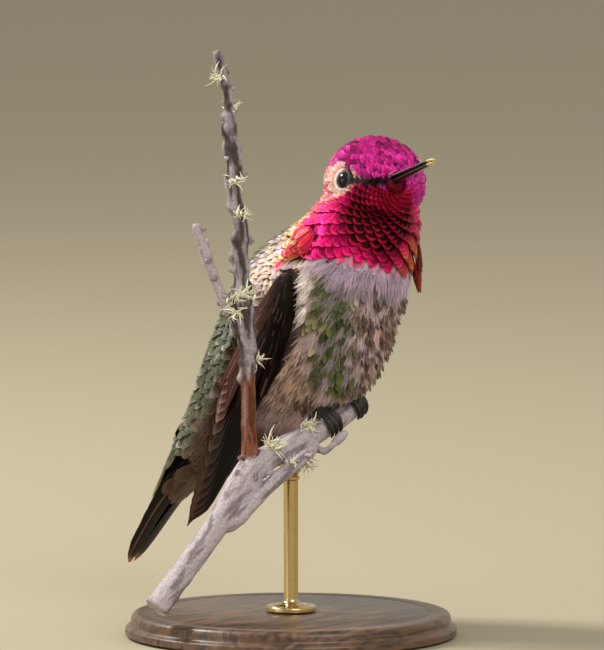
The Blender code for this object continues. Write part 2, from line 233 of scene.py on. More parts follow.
# %% [markdown]
# ## Landmarks
# Everything that follows is placed from the solids themselves. The eyes and the
# bill give the head its own three directions, and the neck and tail give the body
# its long axis. Two small rulers then read any place in millimetres: forward, right
# and up within the head, or along the body and round it from the belly.

# %% Directions of head and body


def places_of(*meshes):
    """The vertices of some meshes, one row each."""
    return np.array([v.co for mesh in meshes for v in mesh.vertices])


def normals_of(mesh):
    return np.array([v.normal for v in mesh.vertices])


def corners(*nodes):
    """The vertices of some solids, one row each."""
    return places_of(*(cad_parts[n].data for n in nodes))


def box_middle(node):
    """The middle of a solid's box."""
    low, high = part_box(node)
    return np.array((low + high) / 2)


def unit(vectors):
    """The same directions, one long."""
    vectors = np.asarray(vectors, float)
    return vectors / np.maximum(np.linalg.norm(vectors, axis=-1, keepdims=True), 1e-12)


HIDDEN_BILL = 2.0 * MM                  # how much of the solid bill the feathers hide
EYES = {"right": box_middle("eye_right"), "left": box_middle("eye_left")}
EYE_RADIUS = (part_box("eye_right")[1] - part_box("eye_right")[0]).z / 2
BETWEEN_EYES = (EYES["right"] + EYES["left"]) / 2
ASIDE = unit(EYES["right"] - EYES["left"])
bill_places = corners("bill_upper", "bill_lower")
bill_line = np.linalg.svd(bill_places - bill_places.mean(0))[2][0]
bill_line *= np.sign(bill_line @ (bill_places.mean(0) - BETWEEN_EYES))
AHEAD = unit(bill_line - ASIDE * (bill_line @ ASIDE))
ABOVE = np.cross(ASIDE, AHEAD)
bill_reach = (bill_places - BETWEEN_EYES) @ AHEAD
BILL_BASE = (BETWEEN_EYES + AHEAD * (bill_reach.min() + HIDDEN_BILL)
             + ABOVE * ((bill_places - BETWEEN_EYES) @ ABOVE).mean())
BILL_TIP = BILL_BASE + AHEAD * (bill_reach.max() - bill_reach.min() - HIDDEN_BILL)

MIDDLE_X = box_middle("tail")[0]
BODY_MIDDLE = box_middle("trunk") * (0, 1, 1) + np.array((MIDDLE_X, 0, 0))
TAILWARD = unit((box_middle("tail") - box_middle("neck")) * (0, 1, 1))
BELLYWARD = np.array((0, TAILWARD[2], -TAILWARD[1]))


def in_head(places):
    """Forward, right and up from the point between the eyes, in millimetres."""
    return (places - BETWEEN_EYES) @ np.stack((AHEAD, ASIDE, ABOVE), 1) / MM


def on_body(places):
    """How far towards the head, and degrees round from the belly to the right."""
    offset = (places - BODY_MIDDLE) / MM
    turn = np.degrees(np.arctan2(-offset[..., 0], offset @ BELLYWARD))
    return -(offset @ TAILWARD), turn


print("bill", round(float(np.linalg.norm(BILL_TIP - BILL_BASE)) / MM, 1), "mm,",
      "eyes", round(float(np.linalg.norm(EYES["right"] - EYES["left"])) / MM, 1),
      "mm apart")

# %% [markdown]
# ## The skin under the feathers
# A mannequin has no seams, so the flesh solids are merged, swollen until their thin
# gaps close, and cast again as one even surface by voxel remeshing. That surface is
# the coat's outer form. The skin itself is the same form drawn in by the depth of
# the feathers. The comb is drawn on a cast that holds the bill and eyes too, so its
# lines pass over their sockets, and leaves out the legs, which would catch them.

# %% Cast one surface from several solids
SWELL, VOXEL, SMOOTHING = 0.22 * MM, 0.42 * MM, 8
COAT_DEPTH = 0.75 * MM
FLESH = ("head", "neck", "trunk", "tail")


def show(name, mesh):
    """Put a mesh in the scene as a piece that rides on the body."""
    piece = add_object(name, mesh)
    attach(piece, "root")
    return piece


def move_vertices(mesh, places):
    mesh.vertices.foreach_set("co", places.ravel())
    mesh.update()


def cast(nodes, swell, voxel, smoothing, shrink=0.0, cuts=(), plug=None):
    """One closed, even mesh over the given solids, cut off past planes if given.

    A plug is a ball (middle, radius) that fills the socket of a piece left out.
    """
    bm = bmesh.new()
    for name in nodes:
        bm.from_mesh(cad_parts[name].data)
    bmesh.ops.remove_doubles(bm, verts=bm.verts, dist=1e-6)
    for place, outwards in cuts:
        bmesh.ops.bisect_plane(bm, geom=bm.verts[:] + bm.edges[:] + bm.faces[:],
                               plane_co=place, plane_no=outwards, clear_outer=True)
        bmesh.ops.edgeloop_fill(bm, edges=[e for e in bm.edges if e.is_boundary])
    if plug is not None:
        bmesh.ops.create_icosphere(bm, subdivisions=3, radius=plug[1],
                                   matrix=Matrix.Translation(plug[0]))
    bm.normal_update()
    for vert in bm.verts:
        vert.co += vert.normal * swell
    mould = add_object("mould", mesh_from("mould", bm))
    remesh = mould.modifiers.new("cast", "REMESH")
    remesh.mode, remesh.voxel_size = "VOXEL", voxel
    soft = mould.modifiers.new("soft", "SMOOTH")
    soft.factor, soft.iterations = 0.5, smoothing
    result = bpy.data.meshes.new_from_object(
        mould.evaluated_get(bpy.context.evaluated_depsgraph_get()))
    bpy.data.objects.remove(mould)
    result.shade_smooth()
    move_vertices(result, places_of(result) - normals_of(result) * shrink)
    return result


def tree_of(mesh):
    return BVHTree.FromPolygons([v.co for v in mesh.vertices],
                                [p.vertices for p in mesh.polygons])


outer = cast(FLESH + ("eye_right", "eye_left", "bill_upper", "bill_lower"),
             SWELL, VOXEL, SMOOTHING)
outer_tree = tree_of(outer)
print("cast of the coat's outer form:", len(outer.polygons), "faces")

# %% [markdown]
# ## A comb over the body
# Feathers don't point anywhere they like: they part round the bill and stream back
# over crown, cheeks and throat, then down the body to the tail. Lines are marched
# over the cast in small steps, away from the bill at first and tailwards further
# on. Together they make a chart: which line, and how far along it. Every feather is
# then bent along the chart, so it wraps the body as a real one does.

# %% March the comb's lines
MARCHED, DOUBLINGS = 240, 2             # lines marched, then filled in between
LINES, STEP, STEPS = MARCHED * 2 ** DOUBLINGS, 0.3 * MM, 300
PARTING = 1.25 * MM                     # radius of the bare ring round the bill
PARTING_MIDDLE = BILL_BASE - AHEAD * 0.2 * MM
STREAM_SOURCE = BILL_BASE - AHEAD * 1.0 * MM
CHIN_LEVELS = (-1.5, -4.5)              # millimetres up: between crown and throat
CROWN_STREAM, THROAT_STREAM = (9.0, 20.0), (1.5, 9.0)  # millimetres from the bill


def smooth(edge0, edge1, x):
    """Rises gently from 0 at edge0 to 1 at edge1."""
    t = np.clip((np.asarray(x, float) - edge0) / (edge1 - edge0), 0, 1)
    return t * t * (3 - 2 * t)


def nearest(tree, places):
    """Closest points of a surface and its normals there."""
    hits = [tree.find_nearest(Vector(p)) for p in places]
    return (np.array([h[0] for h in hits]), np.array([h[1] for h in hits]))


def march():
    """Step every line from its foot beside the bill to its end at the tail."""
    turn = np.linspace(0, 2 * np.pi, MARCHED, endpoint=False)[:, None]
    ring = ABOVE * np.cos(turn) + ASIDE * np.sin(turn)
    here, normal = nearest(outer_tree, PARTING_MIDDLE + ring * PARTING)
    places = [here]
    for _ in range(STEPS):
        away = here - STREAM_SOURCE
        reach = np.linalg.norm(away, axis=1) / MM
        low = smooth(*CHIN_LEVELS, in_head(here)[:, 2])
        far = (smooth(*CROWN_STREAM, reach) * (1 - low)
               + smooth(*THROAT_STREAM, reach) * low)[:, None]
        flow = unit(away) * (1 - far) + TAILWARD * far
        flow = unit(flow - normal * (flow * normal).sum(1, keepdims=True))
        here, normal = nearest(outer_tree, here + flow * STEP)
        places.append(here)
    return np.stack(places, 1)


def filled_in(chart):
    """Twice as many lines: each new one lies on the body between two neighbours."""
    between = (chart + np.roll(chart, -1, 0)) / 2
    on_body_now = nearest(outer_tree, between.reshape(-1, 3))[0].reshape(between.shape)
    return np.stack((chart, on_body_now), 1).reshape(-1, *chart.shape[1:])


def evened(chart, times):
    """Each entry averaged with its neighbours on the chart."""
    for _ in range(times):
        chart = (chart * 2 + np.roll(chart, 1, 0) + np.roll(chart, -1, 0)) / 4
        middle = (chart[:, :-2] + 2 * chart[:, 1:-1] + chart[:, 2:]) / 4
        chart = np.concatenate((chart[:, :1], middle, chart[:, -1:]), 1)
    return chart


comb_places = evened(march(), 2)
for _ in range(DOUBLINGS):
    comb_places = filled_in(comb_places)
comb_places, comb_normals = (
    part.reshape(comb_places.shape)
    for part in nearest(outer_tree, comb_places.reshape(-1, 3)))
comb_places = evened(comb_places, 3)
comb_normals = unit(evened(comb_normals, 12))
comb_flow = unit(evened(np.gradient(comb_places, axis=1), 6))
comb_side = unit(np.cross(comb_flow, comb_normals))


def read_comb(chart, line, along):
    """A chart's value between its lines and steps."""
    step = np.clip(along / STEP, 0, STEPS - 1e-6)
    line0, step0 = np.floor(line).astype(int), np.floor(step).astype(int)
    a, b = (line - line0)[..., None], (step - step0)[..., None]
    near, far = line0 % LINES, (line0 + 1) % LINES
    return ((chart[near, step0] * (1 - a) + chart[far, step0] * a) * (1 - b)
            + (chart[near, step0 + 1] * (1 - a) + chart[far, step0 + 1] * a) * b)


print("comb:", LINES, "lines,", round(STEPS * STEP / MM), "mm long")

# %% [markdown]
# ## Markings
# Skin and feathers must agree, so one function gives the colours at any place: a
# ground colour for most of a feather and a second one for its rim. It works in the
# two rulers of head and body. The throat glows from its chin to two corners, except
# where the feathers face the viewer's side and look nearly black with bright rims;
# that is painted shade, the way such structural colour looks at this angle, laid in
# as a soft ball.

# %% Colours, linear red, green and blue
HOT_PINK, ROSE = (0.56, 0.003, 0.11), (0.78, 0.018, 0.15)
CRIMSON, SCARLET = (0.46, 0.003, 0.035), (0.60, 0.020, 0.012)
NIGHT, EMBER = (0.014, 0.0005, 0.0010), (0.34, 0.002, 0.026)
MAGENTA, VIOLET, PLUM = (0.66, 0.028, 0.30), (0.36, 0.022, 0.20), (0.12, 0.006, 0.055)
AMBER, STRAW, CREAM = (0.70, 0.19, 0.03), (0.88, 0.58, 0.24), (0.86, 0.62, 0.50)
LILAC, ASH, BUFF = (0.66, 0.50, 0.66), (0.36, 0.26, 0.35), (0.80, 0.57, 0.44)
MAUVE = (0.24, 0.125, 0.115)
UMBER, BROWN, SOOT = (0.060, 0.017, 0.008), (0.10, 0.045, 0.018), (0.012, 0.009, 0.009)
LEAF, MOSS, TEAL = (0.15, 0.17, 0.025), (0.06, 0.07, 0.015), (0.03, 0.075, 0.055)
GRASS = (0.050, 0.068, 0.008)
BLOOM, COPPER = (0.48, 0.44, 0.40), (0.13, 0.055, 0.02)
HUMUS, SAGE = (0.034, 0.024, 0.008), (0.064, 0.078, 0.020)

# painted shade on the throat: a ball, in the head's millimetres, where its feathers are
# darkened
PAINTED_SHADE_MIDDLE, PAINTED_SHADE_RADIUS = np.array((4.2, 2.0, -7.6)), 6.6
HEM_LEVEL = 59.9                        # the shield's hem, millimetres above the floor
FINE, BROAD = 0.9 * MM, 3.2 * MM        # sizes of two mottles


def mottle(places, size, seed=0.0):
    """Soft random patches from -1 to 1, each about `size` across."""
    shift = Vector((seed, seed * 1.7, -seed))
    return np.array([noise.noise(Vector(p) / size + shift) for p in places]) * 2


def paint(colours, share, colour):
    """Lay a colour over others by a share of 0 to 1."""
    share = np.clip(np.asarray(share, float), 0, 1)[:, None]
    return np.array(colours) * (1 - share) + np.array(colour) * share


def distance(places, middle):
    """How far the places lie from a point, in millimetres."""
    return np.linalg.norm(places - middle, axis=-1) / MM


def from_bill(places):
    return distance(places, BILL_BASE)


def from_eyes(places):
    """How far the places lie from the nearer eye, in millimetres."""
    return np.min([distance(places, eye) for eye in EYES.values()], 0)


def flank_edge(along):
    """Degrees round the body where the belly's pattern ends."""
    return 40 + 2.7 * np.clip(along - 2.6, -3, 17)


def throat_share(places):
    """1 on the throat's bright shield and its corners, 0 off it."""
    forward, _, up = in_head(places).T
    middle = (places - np.array((MIDDLE_X, 0, 0))) / MM
    around = np.degrees(np.arctan2(-middle[:, 0], -(middle[:, 1] + 5.5)))
    hem = HEM_LEVEL + 6 * smooth(-40, -75, around)
    hem += 0.036 * np.clip(around, -70, 88) - 0.055 * np.clip(around - 88, 0, 40)
    below_cheek = smooth(0.35, -0.35, up - (-2.3 + 0.28 * (forward - 3.2)))
    front = smooth(-11.0, -9.0, forward)
    return below_cheek * front * smooth(-0.4, 0.4, middle[:, 2] - hem)


def crown_share(places):
    """1 on the bright cap, 0 off it."""
    forward, _, up = in_head(places).T
    edge = 2.5 - 1.14 * np.clip(forward - 1.5, 0, None)
    return smooth(-0.3, 0.3, up - edge) * smooth(-5.5, -3.5, forward)


def breast_pattern(places):
    """The green zone, its leaf-green flakes, and the breast's brown crescents."""
    along, turn = on_body(places)
    side, broad = np.abs(turn), mottle(places, BROAD, 5.0)
    front = 10 + 2.2 * np.clip(along - 4, -3, 16)
    green = smooth(-7, 7, side - front + 8 * broad) * smooth(-1, 4, along)
    green *= smooth(10, -10, side - flank_edge(along) + 10 * broad)
    dots = mottle(places, 0.95 * MM, 3.0)
    leaves = green * smooth(-0.05, 0.25, dots) * smooth(19.5, 17.5, along)
    spots = smooth(-0.05, 0.20, dots) * smooth(50, 26, side) * (1 - green)
    spots *= smooth(23.5, 21.0, along + 3 * smooth(30, 0, turn)) * smooth(-7, -1, along)
    return green, leaves, spots


def markings(places, flakes=1.0):
    """Ground and rim colours of the plumage at these places.

    flakes says how strongly the breast's spots and green flakes show.
    """
    forward, right, up = in_head(places).T
    along, turn = on_body(places)
    side = np.abs(turn)
    fine, broad = mottle(places, FINE), mottle(places, BROAD, 5.0)
    ground, rim = BUFF, LILAC

    def both(share, colour, edge, edge_share=None):
        """Paint the ground and, by the same or another share, the rim."""
        nonlocal ground, rim
        ground = paint(ground, share, colour)
        rim = paint(rim, share if edge_share is None else edge_share, edge)

    green, leaves, spots = breast_pattern(places)
    leaves, spots = leaves * flakes, spots * flakes
    both(green, LEAF, ASH, green * 0.6)
    breast = smooth(17.0, 19.5, along + 0.6 * broad) * smooth(100, 80, side)
    both(breast, ASH, LILAC)
    both(spots * 0.9, UMBER, UMBER, spots * 0.75)
    both(leaves, GRASS, LEAF, leaves * 0.8)
    flank = smooth(5, 0, along) * smooth(20, 34, side) * smooth(-14, -6, along)
    flank += (smooth(0, 8, side - flank_edge(along)) * smooth(12, 5, along)
              * smooth(-8, -2, along))
    both(flank, BROWN, BUFF, flank * 0.7)

    vent = smooth(-9, -15, along)
    both(vent, UMBER, COPPER)

    back = smooth(92, 104, side + 3 * broad)
    both(back, HUMUS, SAGE)
    teal = back * smooth(-0.1, 0.5, broad)
    both(teal * 0.2, TEAL, TEAL)
    rim = paint(rim, back * smooth(0.3, 0.9, fine) * 0.35, BLOOM)
    copper = back * smooth(-8, -20, along) * smooth(-0.1, 0.4, -broad)
    ground = paint(ground, copper * 0.7, COPPER)
    mantle = back * smooth(6, 13, along + 2 * broad) * smooth(155, 125, side)
    both(mantle * 0.6, BUFF, CREAM, mantle)

    head = smooth(20.0, 17.0, distance(places, BETWEEN_EYES))
    nape = head * smooth(-12.5, -8.0, forward) * smooth(14.5, 9.0, -up)
    both(nape, ROSE, CREAM)
    cheek = nape * smooth(2.9, 3.8, from_eyes(places)) * smooth(-9.5, -5.0, up)
    ground = paint(ground, cheek * smooth(-0.2, 0.3, broad + fine), CRIMSON)
    rim = paint(rim, cheek * smooth(-0.7, -0.1, fine) * 0.8, ROSE)
    hind = smooth(-2.5, -5.5, forward) * smooth(-1.5, 1.5, up) * nape
    both(hind, MOSS, BLOOM)

    throat = throat_share(places)
    # painted shade: inside that ball the throat is painted nearly black with bright rims,
    # as its structural colour looks at this angle
    offset = np.linalg.norm(in_head(places) - PAINTED_SHADE_MIDDLE, axis=1)
    dark = throat * smooth(PAINTED_SHADE_RADIUS + 1.2, PAINTED_SHADE_RADIUS - 1.6, offset + 0.5 * broad)
    chin = smooth(5.5, 3.0, from_bill(places))
    far_side = smooth(-0.5, -6.0, right) * smooth(-7.5, -11.0, up)
    hindmost = smooth(-4.0, -8.0, forward + 0.8 * broad)
    both(throat, HOT_PINK, ROSE)
    ground = paint(ground, throat * hindmost * smooth(-0.3, 0.3, -fine) * 0.8, SCARLET)
    gold = head * smooth(-5.0, -7.5, forward + 1.2 * broad) * smooth(-2.5, -4.0, up)
    gold *= smooth(-12.5, -10.5, up) * smooth(6.5, 8.5, np.abs(right))
    ground = paint(ground, gold * 0.8, AMBER)
    rim = paint(rim, throat * hindmost * smooth(-0.5, 0.2, fine) * 0.85, STRAW)
    rim = paint(rim, gold * 0.8, STRAW)
    both(throat * far_side, SCARLET, AMBER)
    ground = paint(ground, throat * chin, CRIMSON)
    both(dark * (1 - 0.5 * chin), NIGHT, EMBER, dark)

    crown = crown_share(places)
    glow = smooth(4.6, 1.5, np.abs(right + 0.9) + 0.25 * np.abs(forward - 3.5))
    both(crown, VIOLET, MAGENTA)
    ground = paint(ground, crown * glow, MAGENTA)
    shade = smooth(0.1, 0.7, broad) + smooth(3.0, 4.6, right) * smooth(-0.5, 0.3, broad)
    shade = crown * np.clip(shade, 0, 1)
    both(shade * 0.85, PLUM, PLUM, shade * 0.4)

    lobe = smooth(-2.2, -3.6, right) * smooth(-5.4, -4.2, up) * smooth(-0.5, 1.0, forward)
    lobe *= 1 - smooth(0.5, 1.5, up)
    both(lobe, VIOLET, MAGENTA)

    lores = smooth(0.9, 0.4, np.abs(up - (-1.6 - 0.35 * (forward - 4.5))))
    lores *= smooth(2.4, 3.4, forward) * smooth(1.2, 2.2, right)
    both(lores, SOOT, SOOT)
    return ground, rim


# %% The skin itself
def colour_layer(mesh, name, colours):
    """Store one colour for each vertex under a name."""
    layer = mesh.attributes.new(name, "FLOAT_COLOR", "POINT")
    rgba = np.concatenate((colours, np.ones((len(colours), 1))), 1)
    layer.data.foreach_set("color", rgba.astype(np.float32).ravel())


FLESH_IN_TAIL = 7 * MM                  # how far the flesh goes on inside the tail
PLUG_RADIUS = 1.7 * MM                  # fills the bill's socket
tail_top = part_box("tail")[1].z
tail_cut = BODY_MIDDLE + TAILWARD * (
    (BODY_MIDDLE[2] - tail_top) / -TAILWARD[2] + FLESH_IN_TAIL)
bill_cut = BILL_BASE + AHEAD * 0.5 * MM
skin_mesh = cast(FLESH + ("leg_right", "leg_left"), SWELL, VOXEL, SMOOTHING,
                 COAT_DEPTH, cuts=((tail_cut, TAILWARD), (bill_cut, AHEAD)),
                 plug=(BILL_BASE - AHEAD * 0.9 * MM, PLUG_RADIUS))
ground, rim = markings(places_of(skin_mesh))
colour_layer(skin_mesh, "tint", ground * 0.5 + rim * 0.1)

down = Finish("skin_down", 0.85)
skin_mesh.materials.append(down.done(down.stored("tint"), down.noise(2600.0), 0.6,
                                     0.0002))
skin = show("skin", skin_mesh)
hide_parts(*FLESH, "leg_right", "leg_left")
print("skin:", len(skin_mesh.polygons), "faces")

# %% [markdown]
# ## Feather forms
# Four small forms are enough. A shield and a scale are rounded blades, firm and closed
# to the rim, as on the throat, crown and back. A lance is pointed, as on the face and
# shoulders. A wisp is a bundle of loose hair-like barbs, as on the breast and flanks.
# All are made flat, one unit wide and one long, with their thickness in millimetres;
# the comb bends them later.

# %% Shield, scale, lance and wisp


def as_form(bm):
    """A bmesh as plain arrays, its faces cut to triangles."""
    bmesh.ops.recalc_face_normals(bm, faces=bm.faces)
    bmesh.ops.triangulate(bm, faces=bm.faces)
    bm.verts.index_update()
    places = np.array([v.co for v in bm.verts])
    faces = np.array([[v.index for v in f.verts] for f in bm.faces])
    bm.free()
    return places, faces


def blade(columns, rows, thickness, waist, widest, roundness, taper=0.55):
    """A closed flat blade from root (y = 0) to tip (y = 1).

    waist is its root's width, widest says how far along it is broadest, roundness
    draws the rim back from the tip, and a taper of 1 ends in a point.
    """
    bm = bmesh.new()
    bmesh.ops.create_grid(bm, x_segments=columns, y_segments=rows, size=1.0)
    for vert in bm.verts:
        across, along = vert.co.x, (vert.co.y + 1) / 2
        swell = math.sin(math.pi / 2 * min(along / widest, 1))
        if along > widest:
            swell = math.sqrt(max(1 - taper * ((along - widest) / (1 - widest)) ** 2, 0))
        width = waist + (1 - waist) * swell
        vert.co.x = across * width
        vert.co.y = along - roundness * across * across * along ** 2
    bmesh.ops.solidify(bm, geom=bm.faces[:], thickness=thickness)
    return bm


def edges_of(bm, verts):
    """The edges at some vertices, always in the same order."""
    bm.edges.index_update()
    return sorted({e for vert in verts for e in vert.link_edges}, key=lambda e: e.index)


def wisp(strands, thickness):
    """Loose hair-like barbs side by side, each a thin flat spike bent once."""
    bm = bmesh.new()
    for i in range(strands):
        share = (i + 0.5) / strands * 2 - 1
        root = Vector((0.5 * share, 0.10 * (i % 3), 0))
        tip = Vector((share + 0.12 * math.sin(5 * i), 1 - 0.3 * abs(math.sin(3.7 * i)),
                      0.06 * math.sin(7 * i)))
        reach = tip - root
        turn = reach.to_track_quat("Z", "Y").to_matrix().to_4x4()
        size = Matrix.Diagonal((1.0 / strands, thickness, reach.length, 1))
        made = bmesh.ops.create_cone(bm, cap_ends=True, segments=3, radius1=1.0,
                                     radius2=0.0, depth=1.0, matrix=Matrix.Translation(
                                         (root + tip) / 2) @ turn @ size)
        sides = [e for e in edges_of(bm, made["verts"])
                 if abs(e.verts[0].co.y - e.verts[1].co.y) > 0.4]
        bmesh.ops.subdivide_edges(bm, edges=sides, cuts=1)
    return bm


VANE = 0.05                             # every small vane's thickness, millimetres
FORMS = {
    "shield": as_form(blade(6, 4, VANE, 0.45, 0.62, 0.24)),
    "scale": as_form(blade(4, 3, VANE, 0.45, 0.60, 0.30)),
    "lance": as_form(blade(4, 4, VANE, 0.5, 0.35, 0.15, 0.985)),
    "wisp": as_form(wisp(7, VANE)),
}
for name, (places, faces) in FORMS.items():
    print(name, "form:", len(faces), "triangles")

# %% Where the feathers stand
BELLY_LINE, CHEEK_LINE, BACK_LINE = LINES // 2, LINES // 4, 0


def feather_rows(keep, width, pitch, first=12, last=80, middle_line=BELLY_LINE):
    """Tips in shingled rows: every second row is shifted by half a feather.

    keep says which places belong to the family, width gives a feather's width at
    places, and pitch the rows' spacing as a share of it. The rows go from first to
    last, in millimetres from the bill. Returns line and reach along the comb.
    """
    lines, reaches = [], []
    order = np.arange(LINES + 1) - LINES // 2 + middle_line
    reach, row = first * MM, 0
    while reach < last * MM:
        ring = read_comb(comb_places, order.astype(float), np.full(LINES + 1, reach))
        gaps = np.linalg.norm(np.diff(ring, axis=0), axis=1)
        wide = width(ring)
        count = np.concatenate(([0], np.cumsum(gaps / ((wide[1:] + wide[:-1]) / 2))))
        count -= count[LINES // 2]
        half = 0.5 * (row % 2)
        wanted = np.arange(math.ceil(count[0] - half), math.floor(count[-1] - half) + 1)
        line = np.interp(wanted + half, count, order)[:-1]
        place = read_comb(comb_places, line, np.full(len(line), reach))
        kept = keep(place) > 0.5
        lines.append(line[kept])
        reaches.append(np.full(kept.sum(), reach))
        reach += float(width(ring[LINES // 2:LINES // 2 + 1])[0]) * pitch
        row += 1
    return np.concatenate(lines), np.concatenate(reaches)


# %% How a vane is coloured


def feather_finish(name, roughness, metallic, rim_from, rim_to, outline, barbs,
                   margin=0.4, shaft=0.0, **uniform):
    """Plumage: ground to rim colour along each vane, fine barbs, a dark outline.

    The rim colour fades in from rim_from to rim_to of the way out, outline is the
    last rim's brightness, margin widens the rim at the sides, and shaft is half the
    width of a paler line down the middle.
    """
    made = Finish(name, roughness, Metallic=metallic, **uniform)
    edge = made.stored("edge")
    across = made.node("SeparateXYZ", "X",
                       {"Vector": made.node("UVMap", "UV", uv_map="vane")})
    along = across.node.outputs["Y"]
    off_shaft = made.math("ABSOLUTE", made.math("SUBTRACT", across, 0.5))
    outward = made.math("MULTIPLY_ADD", made.math("POWER", off_shaft, 2.0), margin,
                        along)
    fade = made.between(outward, rim_from, rim_to, interpolation_type="SMOOTHSTEP")
    colour = made.mix(fade, made.stored("tint"), edge)
    if shaft:
        colour = made.mix(made.between(off_shaft, shaft, shaft * 0.5, 0.0, 0.45),
                          colour, edge)
    slant = made.math("MULTIPLY_ADD", off_shaft, -1.1, along)
    ridge = made.math("SINE", made.math("MULTIPLY", slant, barbs * 2 * math.pi))
    lined = made.mix(1.0, colour, made.between(ridge, -1.0, 1.0, 0.86, 1.05), "MULTIPLY")
    outlined = made.mix(1.0, lined, made.between(outward, 0.93, 0.99, 1.0, outline),
                        "MULTIPLY")
    return made.done(outlined, ridge, 0.25, 0.00005)


# %% Lay the feathers


def unwrapped(places):
    """The skin's own unwrap: once round the body, and from tail to head."""
    along, turn = on_body(places)
    return np.stack((turn / 360 + 0.5, np.clip((along + 50) / 90, 0, 1)), 1)


BAKE_PATCH = 0.003                      # each feather's own patch on the map


def copies(form, count):
    """The faces of this many copies of a form, in one list."""
    template, faces = FORMS[form]
    return (faces[None] + np.arange(count)[:, None, None] * len(template)).reshape(-1, 3)


def feather_piece(name, form, places, grounds, rims, finish, roots=None):
    """Join copies of a form, bent to these places, into one piece with its maps."""
    roots = places.mean(1) if roots is None else roots
    template = FORMS[form][0]
    count, size = len(places), len(template)
    all_faces = copies(form, count)
    mesh = bpy.data.meshes.new(name)
    mesh.from_pydata(places.reshape(-1, 3), [], all_faces)
    colour_layer(mesh, "tint", np.repeat(grounds, size, 0))
    colour_layer(mesh, "edge", np.repeat(rims, size, 0))
    flat = np.stack((template[:, 0] / 2 + 0.5, template[:, 1]), 1)
    corner = all_faces.ravel()
    own = np.tile(flat, (count, 1))
    patch = np.repeat(unwrapped(roots), size, 0) + (own - 0.5) * BAKE_PATCH
    for layer, uv in (("OFBake", patch), ("vane", own)):
        mesh.uv_layers.new(name=layer).data.foreach_set("uv", uv[corner].ravel())
    mesh.shade_smooth()
    mesh.set_sharp_from_angle(angle=math.radians(50))
    mesh.materials.append(finish)
    piece = show(name, mesh)
    print(f"{name}: {count} feathers, {len(all_faces)} triangles")
    return piece


def lay(name, form, rows, width, broad, high, finish, lift=(0.0, 0.25), cup=0.05,
        sway=0.12, vary=0.10, tone=0.15, repaint=None, read_at=0.65, flakes=1.0):
    """Bend a family of feathers along the comb and join them.

    broad and high are a feather's width and length as shares of width(places).
    lift is how far root and tip stand off the coat, in millimetres; read_at says
    where between its middle and its tip a feather takes its colours.
    """
    line, reach = rows
    template = FORMS[form][0]
    count = len(line)
    tips = read_comb(comb_places, line, reach)
    wide = width(tips) * broad * (1 + vary * (chance.random(count) - 0.5))
    long = width(tips) * high * (1 + vary * (chance.random(count) - 0.5))
    lean = sway * chance.normal(size=count)
    raise_tip = 1 + 0.5 * (chance.random(count) - 0.5)
    across, along, rise = template.T
    there = reach[:, None] - long[:, None] * (1 - along)
    lines = np.repeat(line[:, None], len(template), 1)
    centre = read_comb(comb_places, lines, there)
    side = read_comb(comb_side, lines, there)
    out = unit(read_comb(comb_normals, lines, there))
    aside = across * wide[:, None] / 2 + lean[:, None] * long[:, None] * along ** 2
    at_root, at_tip = lift
    height = (-COAT_DEPTH * (1 - along) + MM * (
        at_root + (at_tip * raise_tip)[:, None] * along ** 2 + rise)
        - cup * wide[:, None] * across ** 2)
    places = centre + side * aside[..., None] + out * height[..., None]
    roots = read_comb(comb_places, line, reach - long * 0.5)
    ground, rim = markings(roots * (1 - read_at) + tips * read_at, flakes)
    if repaint:
        ground, rim = repaint(tips, ground, rim)
    bright = (1 + tone * chance.normal(size=(count, 1))).clip(0.5, 1.6)
    return feather_piece(name, form, places, ground * bright, rim * bright, finish,
                         roots)

# %% [markdown]
# ## Throat and crown
# The throat's feathers are the smallest at the chin and grow with distance from the
# bill, always about twice as wide as a row is deep. That regular growth is what makes
# the shield read as scales. The crown carries smaller ones in tighter rows.

# %% Throat shield
throat_finish = feather_finish("throat_gloss", 0.40, 0.60, 0.78, 0.92, 0.15, 14,
                               margin=0.96, Specular_IOR_Level=0.12)


def throat_width(places):
    """Feathers grow with their distance from the bill."""
    return np.clip(0.55 + 0.17 * from_bill(places), 0.75, 2.45) * MM


def throat_glitter(tips, ground, rim):
    """Single feathers turned a little differently catch more light, or less."""
    lit = chance.random((len(tips), 1))
    ground = ground * (0.55 + 0.9 * lit)
    return ground, np.where(lit > 0.8, rim * 1.25, rim)


throat_rows = feather_rows(throat_share, throat_width, 0.43, 0.5, 29, BELLY_LINE)
lay("throat_feathers", "shield", throat_rows, throat_width, 1.04, 1.35, throat_finish,
    lift=(0.05, 0.32), cup=0.07, sway=0.05, repaint=throat_glitter,
    read_at=0.0)

# %% Crown
crown_finish = feather_finish("crown_gloss", 0.42, 0.6, 0.60, 0.92, 0.3, 12,
                              margin=1.2, Specular_IOR_Level=0.15)


def crown_width(places):
    return np.clip(0.85 + 0.075 * from_bill(places), 0.9, 1.9) * MM


def crown_glitter(tips, ground, rim):
    """The cap is a mixture: hot pink, magenta and violet feathers side by side."""
    lit = chance.random((len(tips), 1))
    centre = smooth(5.0, 1.0, np.abs(in_head(tips)[:, 1] - 1.0))[:, None]
    pink = (lit > 0.75 - 0.35 * centre) * 0.75
    ground = ground * (1 - pink) + np.array(HOT_PINK) * pink * 1.3
    dim = np.where(lit < 0.22, 0.45, 1.0)
    return ground * dim, rim * dim


crown_rows = feather_rows(crown_share, crown_width, 0.5, 0.4, 22, BACK_LINE)
lay("crown_feathers", "scale", crown_rows, crown_width, 1.15, 1.7, crown_finish,
    lift=(0.0, 0.14), cup=0.04, vary=0.3, tone=0.2,
    repaint=crown_glitter)

# %% [markdown]
# ## Face, breast, belly and back
# The face between cap and throat has tiny loose feathers. Below the shield the breast
# is hair-like, because there the barbs don't hook together. The back is firm again.

